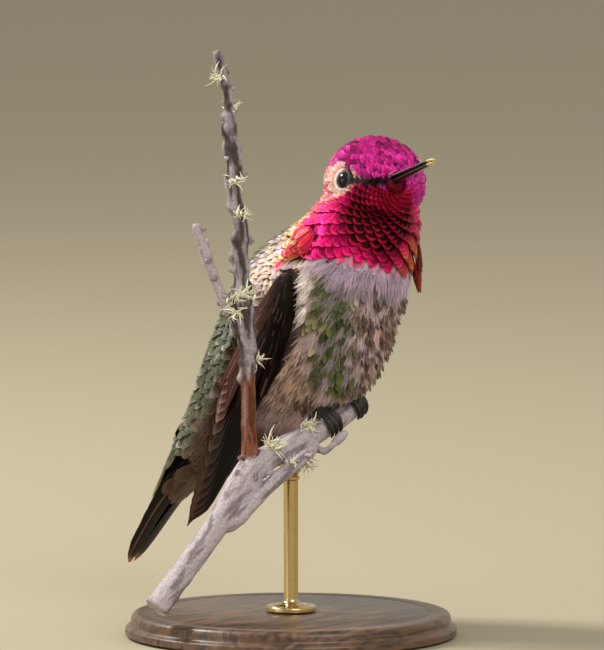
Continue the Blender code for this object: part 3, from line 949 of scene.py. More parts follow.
# %% Face
soft_finish = feather_finish("loose_plumage", 0.72, 0.0, 0.55, 0.9, 0.9, 5,
                             Sheen_Weight=0.25)
spot_finish = feather_finish("spotted_plumage", 0.75, 0.0, 0.84, 0.97, 0.9, 7,
                             margin=1.2)
back_finish = feather_finish("back_gloss", 0.46, 0.15, 0.72, 0.94, 0.6, 10, margin=1.2)
HEAD_REACH = 17.0                       # millimetres from between the eyes


def head_share(places):
    """1 on head and neck, 0 beyond them."""
    return smooth(0.5, -0.5, distance(places, BETWEEN_EYES) - HEAD_REACH)


def keep_face(places):
    """What throat and crown leave; feathers stay clear of the eyes.

    On the right a feather whose root would lie over the eye is left out too.
    """
    free = (throat_share(places) < 0.5) & (crown_share(places) < 0.5)
    near_side = (in_head(places)[:, 1] > 0)[:, None]
    ahead_of_eyes = places - AHEAD * 0.9 * MM * near_side
    return (head_share(places) * free * (from_eyes(places) > 2.2)
            * (from_eyes(ahead_of_eyes) > 2.4))


def face_width(places):
    return np.clip(0.42 + 0.035 * from_bill(places), 0.5, 1.2) * MM


def fleck(tips, ground, rim):
    """Face feathers are a mixture: some wholly pale, some wholly coloured."""
    lit = chance.random((len(tips), 1))
    near = smooth(3.5, 2.7, from_eyes(tips))[:, None]
    ground = ground + (rim - ground) * np.maximum(smooth(0.55, 0.95, lit), near * 0.45)
    return ground, rim + (ground - rim) * smooth(0.62, 0.2, lit) * 0.85 * (1 - near)


face_rows = feather_rows(keep_face, face_width, 0.6, 0.6, 32, CHEEK_LINE)
lay("face_feathers", "lance", face_rows, face_width, 1.3, 2.3, soft_finish,
    lift=(0.0, 0.22), vary=0.3, sway=0.15, repaint=fleck)

# %% Where the body's families stand
OBSTACLES = ("wing_right", "wing_left", "perch_limb", "foot_right", "foot_left")
CLEARANCE = 0.2 * MM
BODY_END = -27                          # millimetres along, at the tail's root
FRONT_TURN, BACK_TURN = 98, 94          # degrees from the belly; they overlap a little


def even(width):
    """A width that is the same all over, in millimetres."""
    def measure(places):
        return np.full(len(places), width * MM)
    return measure


def keep_body(places):
    """Below head and shield, and short of the tail."""
    free = (throat_share(places) < 0.5) & (head_share(places) < 0.5)
    return free & (on_body(places)[0] > BODY_END)


def keep_front(places):
    return keep_body(places) & (np.abs(on_body(places)[1]) < FRONT_TURN)


def keep_mantle(places):
    """The shoulders beside the back, where the feathers are long and streaked."""
    along, turn = on_body(places)
    side = np.abs(turn)
    return keep_body(places) & (side >= BACK_TURN) & (side < 150) & (along > 8.5)


def keep_back(places):
    behind = np.abs(on_body(places)[1]) >= BACK_TURN
    return keep_body(places) & behind & ~keep_mantle(places)


def unhindered(rows):
    """Rows without the feathers that would run into wings, twig or feet."""
    line, reach = rows
    free = np.ones(len(line), bool)
    trees = [tree_of(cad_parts[name].data) for name in OBSTACLES]
    for back_by in (0.0, 1.2):
        tips = read_comb(comb_places, line, reach - back_by * MM)
        for tree in trees:
            free &= np.array([tree.find_nearest(Vector(p), CLEARANCE)[0] is None
                              for p in tips])
    return line[free], reach[free]


def thinned(rows, share):
    """Rows with feathers left out by chance."""
    line, reach = rows
    tips = read_comb(comb_places, line, reach)
    kept = chance.random(len(line)) < share(tips)
    return line[kept], reach[kept]


# %% Scales under the breast's strands
BODY_WIDTH = even(1.9)
front_rows = unhindered(feather_rows(keep_front, BODY_WIDTH, 0.55))
lay("breast_scales", "scale", front_rows, BODY_WIDTH, 1.1, 1.6, spot_finish,
    lift=(-0.3, -0.1), sway=0.15, vary=0.3, tone=0.25, flakes=0.4)

# %% Loose strands
STRAND_WIDTH = even(1.0)


def hairy(places):
    """How thickly the loose strands lie: closed on the breast, thin on the belly."""
    _, leaves, spots = breast_pattern(places)
    return 0.80 + 0.20 * smooth(15, 19, on_body(places)[0]) - 0.6 * spots - 0.4 * leaves


def strand_tone(tips, ground, rim):
    """Strands are mostly the pale colour of the feathers' edges."""
    pale = chance.random((len(tips), 1)) ** 0.9
    return ground * (1 - pale) + rim * pale, ground + (rim - ground) * (0.35 + 0.65 * pale)


def keep_strands(low, high):
    """A stretch of the front, far enough under the shield's hem not to lie on it."""
    def keep(places):
        along = on_body(places)[0]
        below_hem = throat_share(places - TAILWARD * 2.3 * MM) < 0.5
        return keep_front(places) & below_hem & (along >= low) & (along < high)
    return keep


for name, low, high in (("breast_strands", 12, 60), ("belly_strands", BODY_END, 12)):
    rows = feather_rows(keep_strands(low, high), STRAND_WIDTH, 0.55)
    lay(name, "wisp", unhindered(thinned(rows, hairy)), STRAND_WIDTH, 1.25, 3.0,
        soft_finish, lift=(0.45, 0.35), sway=0.10, vary=0.5,
        repaint=strand_tone, read_at=1.3, flakes=0.15)

# %% Green flakes and brown crescents
FLAKE_WIDTH = even(1.15)


def spotted(places):
    """Where green flakes and brown crescents lie on top of the strands."""
    _, leaves, spots = breast_pattern(places)
    return smooth(0.25, 0.6, np.maximum(leaves, spots))


def flake_tone(tips, ground, rim):
    """Flakes are dark with an edge only a little paler."""
    shade = 0.55 + 0.6 * chance.random((len(tips), 1))
    return ground * shade, (ground * 1.1 + rim * 0.12) * shade


flake_rows = feather_rows(keep_front, FLAKE_WIDTH, 0.8)
lay("breast_flakes", "scale", unhindered(thinned(flake_rows, spotted)), FLAKE_WIDTH,
    1.0, 1.5, spot_finish, lift=(0.55, 0.50), sway=0.15, vary=0.6,
    tone=0.3, read_at=1.0, repaint=flake_tone)

# %% White tufts beside the wings
TUFT_GROUND, TUFT_RIM = (0.92, 0.80, 0.74), (1.0, 0.94, 0.90)


def keep_tuft(places):
    """A strip that runs down along the wing's front edge."""
    along, turn = on_body(places)
    strip = 74 + 2.6 * (along - 11.5)
    return (along > 9.5) & (along < 16.5) & (np.abs(np.abs(turn) - strip) < 4)


def tuft_tone(tips, ground, rim):
    white = 0.8 + 0.4 * chance.random((len(tips), 1))
    return np.array(TUFT_GROUND) * white, np.array(TUFT_RIM) * white


tuft_rows = feather_rows(keep_tuft, STRAND_WIDTH, 0.7)
lay("wing_tufts", "wisp", tuft_rows, STRAND_WIDTH, 1.5, 3.4, soft_finish,
    lift=(0.7, 1.1), sway=0.25, vary=0.6, repaint=tuft_tone)

# %% Back and shoulders
back_rows = unhindered(feather_rows(keep_back, BODY_WIDTH, 0.55, 14, 85, BACK_LINE))
lay("back_feathers", "scale", back_rows, BODY_WIDTH, 1.15, 1.6, back_finish,
    lift=(0.0, 0.3), vary=0.3, sway=0.15, tone=0.25)


def streak(tips, ground, rim):
    """Shoulder feathers are cream, grey-lilac or green, each in its own measure."""
    lit = chance.random((len(tips), 1))
    ground = np.where(lit < 0.3, np.array(HUMUS), ground)
    return ground, np.where((lit > 0.3) & (lit < 0.55), np.array(LILAC), rim)


mantle_rows = unhindered(feather_rows(keep_mantle, STRAND_WIDTH, 0.8, 12, 60, BACK_LINE))
lay("mantle_feathers", "lance", mantle_rows, STRAND_WIDTH, 1.5, 3.4, soft_finish,
    lift=(0.0, 0.35), vary=0.4, tone=0.2, repaint=streak)

# %% [markdown]
# ## Wings
# A folded wing is a stack of long blades. The outermost flight feather forms the
# wing's front edge and reaches its tip; each one inside it lies a little over the
# last and stops a little shorter, so the tips step up the wing. Short secondaries
# and six rows of coverts close the shoulder. Each solid wing is measured along its
# length to get its two edges and its face, and the blades are bent onto that face.

# %% Read a flat solid's edges and face
FACE_LINES = 48


class FlatSolid:
    """The two edges, middle face and thickness of a flat solid along its length."""

    def __init__(self, node, outward, wide=None):
        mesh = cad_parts[node].data
        places = corners(node)
        self.middle = places.mean(0)
        long, second, _ = np.linalg.svd(places - self.middle, full_matrices=False)[2]
        self.long = long * np.sign(long @ TAILWARD)
        if wide is not None:
            second = np.array(wide) - self.long * (np.array(wide) @ self.long)
        self.wide = unit(second * np.sign(second @ (1e-3, 1, 1)))
        flat = np.cross(self.long, self.wide)
        self.flat = flat * np.sign(flat @ outward)
        axes = np.stack((self.long, self.wide, self.flat), 1)
        edges = np.array([e.vertices for e in mesh.edges])
        begin, end = ((places - self.middle) @ axes)[edges.T]
        self.start, self.end = begin[:, 0].min(), begin[:, 0].max()
        self.grid = np.linspace(0.01, 0.99, FACE_LINES)
        rows = []
        for at in self.start + (self.end - self.start) * self.grid:
            cross = (begin[:, 0] - at) * (end[:, 0] - at) < 0
            part = (at - begin[cross, 0]) / (end[cross, 0] - begin[cross, 0])
            cut = begin[cross] + (end[cross] - begin[cross]) * part[:, None]
            rows.append((cut[:, 1].min(), cut[:, 1].max(), cut[:, 2].mean(),
                         (cut[:, 2].max() - cut[:, 2].min()) / 2))
        self.rows = np.array(rows).T

    def span(self, share):
        return np.interp(share, self.grid, self.rows[1] - self.rows[0])

    def at(self, share, chord, level, rise):
        """Places from shares along and across; level is -1 to 1 through its depth."""
        front, rear, face, thick = (np.interp(share, self.grid, r) for r in self.rows)
        bulge = thick * level * (1 - np.abs(2 * chord - 1) ** 2.5)
        run = self.start + (self.end - self.start) * share
        return (self.middle + run[..., None] * self.long
                + (front + (rear - front) * chord)[..., None] * self.wide
                + (face + bulge + rise)[..., None] * self.flat)


def vanes_on(flat, plan, form):
    """Bend a form for each row: root and tip (share, chord), width, level, offset."""
    across, along, rise = FORMS[form][0].T
    root, root_chord, tip, tip_chord, width, level, offset = (
        c[:, None] for c in plan.T)
    share = root + (tip - root) * along
    chord = root_chord + (tip_chord - root_chord) * along ** 0.7
    span = np.maximum(flat.span(share), 0.6 * MM)
    room = np.where(across > 0, 1 - chord, chord)
    half = np.minimum(width * MM / 2 / span, room)
    return flat.at(share, chord + across * half, level, (offset + rise) * MM)


def quill(columns, rows, thickness, waist, tip_round):
    """A long flight feather: narrow root, raised shaft, rounded tip."""
    bm = bmesh.new()
    bmesh.ops.create_grid(bm, x_segments=columns, y_segments=rows, size=1.0)
    for vert in bm.verts:
        across, along = vert.co.x, (vert.co.y + 1) / 2
        width = waist + (1 - waist) * math.sin(math.pi / 2 * min(along / 0.35, 1))
        if along > 0.88:
            width *= math.sqrt(1 - 0.85 * ((along - 0.88) / 0.12) ** 2)
        shaft = 0.9 * (1 - 0.6 * along) if abs(across) < 0.05 else 0.0
        vert.co = (across * width, along - tip_round * across ** 2 * along ** 6,
                   thickness * (shaft - 0.5 * across))
    bmesh.ops.solidify(bm, geom=bm.faces[:], thickness=thickness)
    return bm


FORMS["quill"] = as_form(quill(6, 22, 0.08, 0.25, 0.03))
FORMS["covert"] = as_form(blade(4, 5, 0.06, 0.4, 0.6, 0.16))
PRIMARIES, SECONDARIES = 10, 6
# The outer quills' and the coverts' near-black grounds are partly the wing's own dark
# colour and partly painted shade of the folded wing's interior.
QUILL_DARK, QUILL_RUSTY = (0.004, 0.0022, 0.0022), (0.060, 0.023, 0.018)
QUILL_EDGE = (0.34, 0.20, 0.16)
COVERT_DARK, COVERT_RUSTY = (0.004, 0.0015, 0.0015), (0.075, 0.028, 0.022)
COVERT_EDGE = (0.02, 0.007, 0.005)
COVERT_ROWS = (                         # tip's share, count, width (mm), length's share
    (0.44, 6, 2.2, 0.30), (0.34, 7, 2.0, 0.24), (0.25, 7, 1.8, 0.19),
    (0.17, 7, 1.6, 0.14), (0.11, 6, 1.5, 0.10), (0.07, 5, 1.3, 0.07))

# %% Bend the quills onto both wings
wing_finish = feather_finish("flight_gloss", 0.45, 0.0, 0.93, 1.0, 0.9, 40, margin=0.25,
                             shaft=0.06, Specular_IOR_Level=0.12)
wing_cover = feather_finish("covert_gloss", 0.55, 0.0, 0.97, 1.02, 0.8, 14, shaft=0.12,
                            Specular_IOR_Level=0.05)


def wing_plan():
    """Flight feathers from the wing's front edge inwards, each over the last."""
    plan = []
    for i in range(PRIMARIES):
        step = i / (PRIMARIES - 1)
        plan.append((0.02 + 0.05 * step, 0.20 + 0.30 * step,
                     1.0 - 0.022 * i - 0.22 * step ** 2, 0.42 + 0.44 * step ** 0.7,
                     4.2, 0.1 + 0.065 * i, 0.05 * i))
    for i in range(SECONDARIES):
        step = i / (SECONDARIES - 1)
        plan.append((0.06 + 0.02 * step, 0.60 + 0.25 * step, 0.60 - 0.16 * step,
                     0.80 + 0.10 * step, 3.8, 0.80 + 0.03 * i, 0.5 + 0.05 * i))
    return np.array(plan)


def covert_plan():
    """Shingled rows over the shoulder, the lowest and longest row first."""
    rows = []
    for tip, count, width, long in COVERT_ROWS:
        for i in range(count):
            chord = (i + 0.5 + 0.4 * (len(rows) % 2)) / (count + 0.4)
            start = max(tip - long + 0.02 * chord, 0.0)
            ragged = 0.03 * chance.normal()
            rows.append((start, 0.5 + (chord - 0.5) * 0.85,
                         max(tip + 0.05 * chord + ragged, 0.05), chord, width, 0.98,
                         0.85 + 0.5 * (0.44 - tip)))
    return np.array(rows)


for side, outward in (("right", (-1, 0, 0)), ("left", (1, 0, 0))):
    solid = FlatSolid("wing_" + side, outward)
    plan = wing_plan()
    places = vanes_on(solid, plan, "quill")
    inner = smooth(0.35, 0.75, np.arange(len(plan)) / len(plan))
    grounds = paint(QUILL_DARK, inner * 0.9, QUILL_RUSTY)
    rims = paint(UMBER, inner * 0.9, QUILL_EDGE)
    quills = feather_piece("wing_quills_" + side, "quill", places, grounds, rims,
                           wing_finish)
    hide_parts("wing_" + side)
    plan = covert_plan()
    places = vanes_on(solid, plan, "covert")
    shine = smooth(0.30, 0.10, plan[:, 2]) * chance.random(len(plan))
    inner = smooth(0.40, 0.75, plan[:, 3]) * smooth(0.08, 0.2, plan[:, 2])
    grounds = paint(paint(COVERT_DARK, shine * 0.1, MOSS), inner * 0.9, COVERT_RUSTY)
    rims = paint(COVERT_EDGE, 0.9 * chance.random(len(plan)) ** 2, MAUVE)
    feather_piece("wing_coverts_" + side, "covert", places, grounds, rims, wing_cover)
    print(side, "wing:", round((solid.end - solid.start) / MM, 1), "mm long,",
          round(float(solid.span(0.4)) / MM, 1), "mm wide")

# %% [markdown]
# ## Tail
# Ten tail feathers spread a little from one root. The middle pair lies on top and
# shines green; the outer ones are nearly black with a rusty edge and reach further,
# so the tail is slightly forked. They sit in the solid tail's own thickness.

# %% Tail feathers
PAIRS = 5
TAIL_MIDDLE, TAIL_OUTER = (0.018, 0.022, 0.010), (0.007, 0.004, 0.0035)
TAIL_EDGE = (0.44, 0.22, 0.12)
tail_solid = FlatSolid("tail", -BELLYWARD, wide=(1, 0, 0))


def tail_plan():
    """Pairs of feathers from the outermost and lowest to the middle and highest."""
    rows = []
    for pair in range(PAIRS):
        inward = pair / (PAIRS - 1)
        for side in (-1, 1):
            chord = 0.5 + side * (0.40 - 0.30 * inward)
            rows.append((0.0, 0.5 + (chord - 0.5) * 0.6, 1.0 - 0.07 * inward, chord,
                         4.4, -0.6 + 1.1 * inward, -0.15 + 0.10 * pair + 0.03 * side))
    return np.array(rows)


plan = tail_plan()
places = vanes_on(tail_solid, plan, "quill")
inner = np.repeat(np.arange(PAIRS), 2)[:, None] >= PAIRS - 1
grounds = np.where(inner, TAIL_MIDDLE, TAIL_OUTER)
rims = np.where(inner, COPPER, TAIL_EDGE)
tail_quills = feather_piece("tail_quills", "quill", places, grounds, rims, wing_finish)
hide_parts("tail")
print("tail:", round((tail_solid.end - tail_solid.start) / MM, 1), "mm long")

# %% [markdown]
# ## Eyes
# A small bird's eye is a dark, wet ball that shows only where the round lids leave it
# open. The lids are a fold of bare grey skin, and round them sit tiny pale feathers.
# The ball is smooth with a clear coat; the lid is one ring spun from a small circle,
# tilted to the side of the head as the opening is.

# %% Eyeballs, lids and the pale ring
LID_OPENING, LID_THICK = 1.50 * MM, 0.40 * MM
LOOK_AHEAD, LOOK_UP = 0.42, 0.05        # the eyes look sideways, and this much more
EYE_AHEAD, EYE_INWARDS, EYE_DOWN = 0.75, 0.35, 0.6  # millimetres off the solid's eye
LID_CORNER = float(EYES["right"] @ AHEAD) + 0.75 * MM
wet = Finish("eye_wet", 0.10, Specular_IOR_Level=0.15, Coat_Weight=0.35,
             Coat_Roughness=0.02)
eye_finish = wet.done(wet.tones(wet.noise(900.0, 3.0), (0.002, 0.0015, 0.002),
                                (0.012, 0.006, 0.008)))

grey = Finish("lid_skin", 0.55)
fold = grey.noise(4200.0)
dark_fore = grey.between(grey.reach(AHEAD), LID_CORNER + 0.2 * MM, LID_CORNER + 1.2 * MM)
lid_finish = grey.done(
    grey.mix(dark_fore, grey.tones(fold, (0.62, 0.52, 0.48), (0.86, 0.78, 0.74)),
             (0.02, 0.015, 0.015, 1)), fold, 0.4, 0.00005)


def facing(origin, out, up=ABOVE):
    """A matrix whose Z points out from a place."""
    out = unit(out)
    side = unit(np.cross(up, out))
    rows = np.stack((side, np.cross(out, side), out), 1)
    matrix = Matrix(rows.tolist()).to_4x4()
    matrix.translation = Vector(origin)
    return matrix


def spun(bm, steps):
    """Spin an outline once round the Z axis into a closed skin."""
    bmesh.ops.spin(bm, geom=bm.verts[:] + bm.edges[:], cent=(0, 0, 0), axis=(0, 0, 1),
                   angle=2 * math.pi, steps=steps, use_merge=True)
    bmesh.ops.remove_doubles(bm, verts=bm.verts, dist=1e-7)
    bmesh.ops.recalc_face_normals(bm, faces=bm.faces)


EYE_LOOK, EYE_AT = {}, {}
for name, sign in (("right", 1), ("left", -1)):
    look = unit(ASIDE * sign + AHEAD * LOOK_AHEAD + ABOVE * LOOK_UP)
    EYE_AT[name] = EYES[name] + (AHEAD * EYE_AHEAD - ASIDE * sign * EYE_INWARDS
                                 - ABOVE * EYE_DOWN) * MM
    EYE_LOOK[name] = look
    bm = bmesh.new()
    bmesh.ops.create_uvsphere(bm, u_segments=36, v_segments=24, radius=EYE_RADIUS,
                              matrix=facing(EYE_AT[name], look))
    ball = show("eyeball_" + name, mesh_from("eyeball_" + name, bm, eye_finish))
    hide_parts("eye_" + name)

    depth = math.sqrt(EYE_RADIUS ** 2 - LID_OPENING ** 2)
    bm = bmesh.new()
    section = Matrix.Translation((LID_OPENING + 0.16 * MM, 0, depth)) @ Matrix.Rotation(
        math.pi / 2, 4, "X")
    bmesh.ops.create_circle(bm, segments=10, radius=LID_THICK, matrix=section)
    spun(bm, 40)
    for vert in bm.verts:                   # a corner fore and aft, as in real lids
        vert.co.z -= 0.12 * MM * (vert.co.y / (LID_OPENING + 0.3 * MM)) ** 2
    bmesh.ops.transform(bm, matrix=facing(EYE_AT[name], look), verts=bm.verts)
    lid = show("lids_" + name, mesh_from("lids_" + name, bm, lid_finish))


def ring_of_feathers(eye, look, radius, count, long, wide, phase):
    """Tiny feathers standing round an eye, root inwards: places, roots."""
    template = FORMS["scale"][0]
    turn = 2 * np.pi * (np.arange(count) + phase) / count
    first = unit(np.cross(look, ABOVE))
    second = np.cross(look, first)
    ray = np.cos(turn)[:, None] * first + np.sin(turn)[:, None] * second
    back_sweep = unit(ray - AHEAD * 0.55)
    start = eye + look * EYE_RADIUS * 0.42 + ray * radius
    across, along, rise = template.T
    side = unit(np.cross(look, back_sweep))
    places = (start[:, None] + back_sweep[:, None] * (along * long)[None, :, None]
              + side[:, None] * (across * wide / 2)[None, :, None]
              + look * ((0.16 * MM * np.sin(along * 2.2) - 0.45 * along ** 2 * long
                         + rise * MM)[None, :, None]))
    return places, start


RINGS = (                               # off the lid, count, length, width (mm), phase
    (0.95, 30, 0.8, 0.45, 0.5), (0.68, 28, 0.6, 0.40, 0.0))
PALE_GROUND, PALE_RIM = np.array((0.85, 0.68, 0.60)), np.array((1.0, 0.88, 0.80))
pale_finish = feather_finish("pale_ring", 0.7, 0.0, 0.5, 0.95, 0.9, 4)
for name in EYES:
    rings = [ring_of_feathers(EYE_AT[name], EYE_LOOK[name], LID_OPENING + offset * MM,
                              count, long * MM, wide * MM, phase)
             for offset, count, long, wide, phase in RINGS]
    places = np.concatenate([ring[0] for ring in rings])
    roots = np.concatenate([ring[1] for ring in rings])
    tone = chance.random((len(places), 1)) * 0.35 + 0.65
    before = smooth(-0.6, 0.8, (in_head(roots) - in_head(EYE_AT[name]))[:, 0])[:, None]
    grounds = PALE_GROUND * tone * (1 - 0.55 * before)
    rims = PALE_RIM * tone * (1 - 0.35 * before)
    feather_piece("eye_ring_" + name, "scale", places, grounds, rims, pale_finish,
                  roots)

# %% [markdown]
# ## Bill
# The bill is two horny halves that close along one line, slim and almost straight,
# black with a worn, pale, blunt tip and a painted highlight along its top ridge. Each
# half is a ring drawn out along the bill and narrowed step by step, flat on the side
# where they meet.

# %% Bill halves
HALF_WIDTH, HALF_DEPTH, HALF_GAP = 0.86, 0.38, 0.05  # of a bill half, millimetres
LOWER_SHARE = 0.975                     # the lower half is a little shorter
HORN_ROOT = BILL_BASE + ABOVE * 0.55 * MM
HORN_TIP = BILL_TIP - ABOVE * 0.75 * MM
BILL_LENGTH = float(np.linalg.norm(HORN_TIP - HORN_ROOT))
BILL_AHEAD = unit(HORN_TIP - HORN_ROOT)
BILL_ABOVE = unit(ABOVE - BILL_AHEAD * (ABOVE @ BILL_AHEAD))

BILL_RINGS = (                          # share of the length, thickness
    (-0.11, 1.15), (0.0, 1.12), (0.12, 1.03), (0.3, 0.94), (0.5, 0.86), (0.7, 0.79),
    (0.86, 0.75), (0.94, 0.72), (0.98, 0.56), (1.0, 0.2))
TIP_AT, RIDGE_AT = float(BILL_TIP @ AHEAD), float(HORN_ROOT @ BILL_ABOVE)
horn = Finish("bill_horn", 0.34, Coat_Weight=0.5, Coat_Roughness=0.22)
worn = horn.noise(700.0, 4.0)
ragged = horn.math("MULTIPLY_ADD", worn, 1.6 * MM, horn.reach(AHEAD))
pale_tip = horn.between(ragged, TIP_AT - 1.6 * MM, TIP_AT - 0.6 * MM)
# painted highlight: a pale line along the bill's top ridge, where the key light would
# glint
ridge_highlight = horn.between(horn.reach(BILL_ABOVE), RIDGE_AT + 0.38 * MM,
                          RIDGE_AT + 0.60 * MM, 0.0, 0.35)
tone = horn.mix(pale_tip, (0.003, 0.0027, 0.0027, 1), (0.62, 0.48, 0.16, 1))
bill_finish = horn.done(horn.mix(ridge_highlight, tone, (0.75, 0.72, 0.70, 1)), worn, 0.35,
                        0.00008)


def drawn(rings, sides):
    """Rings joined and closed at both ends: (middle, half axis u, half axis v) each."""
    bm = bmesh.new()
    loops = []
    for middle, u, v in rings:
        axis = Vector(u).cross(Vector(v)).normalized()
        matrix = Matrix((Vector(u), Vector(v), axis)).transposed().to_4x4()
        matrix.translation = Vector(middle)
        made = bmesh.ops.create_circle(bm, segments=sides, radius=1.0, matrix=matrix)
        loops.append(edges_of(bm, made["verts"]))
    for low, high in zip(loops, loops[1:]):
        bmesh.ops.bridge_loops(bm, edges=low + high)
    for end in (loops[0], loops[-1]):
        bmesh.ops.edgeloop_fill(bm, edges=end)
    bmesh.ops.recalc_face_normals(bm, faces=bm.faces)
    return bm


for name, side in (("bill_upper", 1), ("bill_lower", -1)):
    length = BILL_LENGTH * (1.0 if side > 0 else LOWER_SHARE)
    rings = []
    for share, thick in BILL_RINGS:
        middle = (HORN_ROOT + BILL_AHEAD * share * length
                  + BILL_ABOVE * side * (0.36 * thick + 0.03) * MM)
        rings.append((middle, ASIDE * HALF_WIDTH * thick * MM,
                      BILL_ABOVE * HALF_DEPTH * thick * MM))
    bm = drawn(rings, 18)
    for vert in bm.verts:                   # flat where the halves meet
        offset = float((np.array(vert.co) - HORN_ROOT) @ BILL_ABOVE)
        if side * offset < HALF_GAP * MM:
            vert.co += Vector(BILL_ABOVE) * (side * HALF_GAP * MM - offset) * 0.7
    piece = show(name + "_horn", mesh_from(name + "_horn", bm, bill_finish))
    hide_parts(name)
print("bill halves:", round(BILL_LENGTH / MM, 1), "mm from the feathers")

# %% Feathers that creep over the bill's root
root_finish = feather_finish("bill_root_feathers", 0.5, 0.3, 0.7, 0.92, 0.35, 8,
                             margin=1.2)
ROOT_ROWS = (                           # ahead of the base and away from it, count
    (-0.95, 2.25, 20), (-0.55, 1.95, 18), (-0.15, 1.65, 16), (0.2, 1.35, 14))
across, along, rise = FORMS["scale"][0].T
places, roots, heights = [], [], []
for row, (ahead, away, count) in enumerate(ROOT_ROWS):
    turn = 2 * np.pi * (np.arange(count) + 0.5 * (row % 2)) / count
    ray = np.cos(turn)[:, None] * BILL_ABOVE + np.sin(turn)[:, None] * ASIDE
    long = (1.2 + 0.6 * smooth(0.2, 1.0, np.cos(turn)))[:, None] * along * MM
    reach = np.maximum(away - 0.55 * along, 0.9)[None, :] * MM + (rise + 0.05 * row) * MM
    start = BILL_BASE + BILL_AHEAD * ahead * MM + ABOVE * (0.2 + 0.14 * row) * MM
    side = np.cross(ray, BILL_AHEAD)
    places.append(start + BILL_AHEAD * long[..., None] + ray[:, None] * reach[..., None]
                  + side[:, None] * (across * 0.45 * MM)[:, None])
    roots.append(start + ray * away * MM)
    heights.append(np.cos(turn))
places, roots = np.concatenate(places), np.concatenate(roots)
heights = np.concatenate(heights)
tone = (0.6 + 0.7 * chance.random(len(places)))[:, None]
grounds = paint(NIGHT, smooth(-0.1, -0.5, heights) * 0.6, CRIMSON)
grounds = paint(grounds, smooth(0.3, 0.6, heights), VIOLET) * tone
rims = paint(SOOT, smooth(-0.2, -0.6, heights), CRIMSON)
rims = paint(rims, smooth(0.3, 0.6, heights), MAGENTA) * tone
feather_piece("bill_root_feathers", "scale", places, grounds, rims, root_finish,
              roots)

# %% [markdown]
# ## The twig
# The perch is a dead twig: pale lilac-grey bark over wood, furrowed lengthwise, with
# swollen rings and broken spurs where buds stood. One length of the upright has lost
# its bark and shows red-brown wood. The five perch solids are cast again as one
# surface, which is then pushed in and out by noise stretched along each length.

# %% Cast the twig and roughen its bark
PERCH = ("perch_limb", "perch_upright", "perch_side_twig", "perch_branchlet",
         "perch_bud")
BARK_PALE, BARK_MID = (0.46, 0.40, 0.43), (0.25, 0.205, 0.22)
BARK_DARK = (0.065, 0.045, 0.04)
BARK_ROOM, BARK_VOXEL = 0.08 * MM, 0.30 * MM  # drawn in for the bark's relief
PEELED, HEARTWOOD = (0.24, 0.075, 0.038), (0.62, 0.50, 0.40)
upright_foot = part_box("perch_upright")[0].z
PEELED_FROM, PEELED_TO = upright_foot + 0.6 * MM, upright_foot + 13.5 * MM


def axis_of(node):
    """A long solid's middle and the direction of its greatest length, upwards."""
    places = corners(node)
    middle = places.mean(0)
    long = np.linalg.svd(places - middle, full_matrices=False)[2][0]
    return middle, long * np.sign(long[2])


PERCH_AXES = {name: axis_of(name) for name in PERCH[:4]}
perch_trees = {name: tree_of(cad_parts[name].data) for name in PERCH[:4]}


def stretched(places, size, seed):
    """Noise drawn out five times along the nearest twig's length."""
    result = np.empty(len(places))
    for i, place in enumerate(places):
        near = min(PERCH_AXES, key=lambda n: perch_trees[n].find_nearest(Vector(place))[3])
        middle, long = PERCH_AXES[near]
        run = float((place - middle) @ long)
        squashed = Vector(place - long * run * 0.8) / size
        result[i] = noise.noise(squashed + Vector((seed, -seed, seed)))
    return result


bark_mesh = cast(PERCH, -BARK_ROOM, BARK_VOXEL, 2)
bark_places, bark_normals = places_of(bark_mesh), normals_of(bark_mesh)
furrow = stretched(bark_places, 1.1 * MM, 2.0)
grain = stretched(bark_places, 0.45 * MM, 9.0)
lump = mottle(bark_places, 2.6 * MM, 4.0)
height = bark_places[:, 2]
upright = perch_trees["perch_upright"]
on_upright = np.array([upright.find_nearest(Vector(p))[3] for p in bark_places])
on_upright = on_upright < 0.4 * MM
bare = on_upright * smooth(PEELED_FROM - 0.4 * MM, PEELED_FROM, height) * smooth(
    PEELED_TO + 1.0 * MM, PEELED_TO - 0.5 * MM, height + 3 * MM * furrow)
rings = np.sin(height / MM * 0.62 + 1.3) ** 16 * on_upright
rugged = 0.25 + 0.75 * on_upright
relief = (0.30 * furrow + 0.20 * grain + 0.45 * smooth(0.25, 0.8, lump)
          + 0.30 * rings) * (1 - 0.85 * bare) * rugged - 0.22 * bare
move_vertices(bark_mesh, bark_places + bark_normals * (relief * MM)[:, None])

# %% Colour the bark
tone = paint(BARK_MID, smooth(-0.1, 0.35, furrow + 0.4 * grain
                              + 0.40 * (1 - on_upright)), BARK_PALE)
crevice = smooth(0.05, -0.35, furrow + 0.6 * grain - 0.1 * on_upright)
tone = paint(tone, crevice * (0.15 + 0.75 * on_upright), BARK_DARK)
tone *= 1 - 0.25 * on_upright[:, None]
tone = paint(tone, bare, PEELED)
tone = paint(tone, bare * smooth(-0.1, 0.3, grain + furrow) * 0.75, UMBER)
tone = paint(tone, bare * smooth(-0.15, -0.4, furrow) * 0.6, BARK_MID)
cut_end = smooth(0.6 * MM, 0.2 * MM, height - height.min())
tone = paint(tone, cut_end, HEARTWOOD)
colour_layer(bark_mesh, "tint", tone)

rough = Finish("bark_grey", 0.82, Specular_IOR_Level=0.25)
fibre = rough.noise(2400.0, 4.0)
speck = rough.between(fibre, 0.35, 0.65, 0.75, 1.12)
bark_finish = rough.done(rough.mix(1.0, rough.stored("tint"), speck, "MULTIPLY"), fibre,
                         0.7, 0.00015)
bark_mesh.materials.append(bark_finish)
bark = show("twig_bark", bark_mesh)
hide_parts(*PERCH)
print("twig:", len(bark_mesh.polygons), "faces")

# %% Broken spurs and buds up the twig
bark_tree = tree_of(bark_mesh)


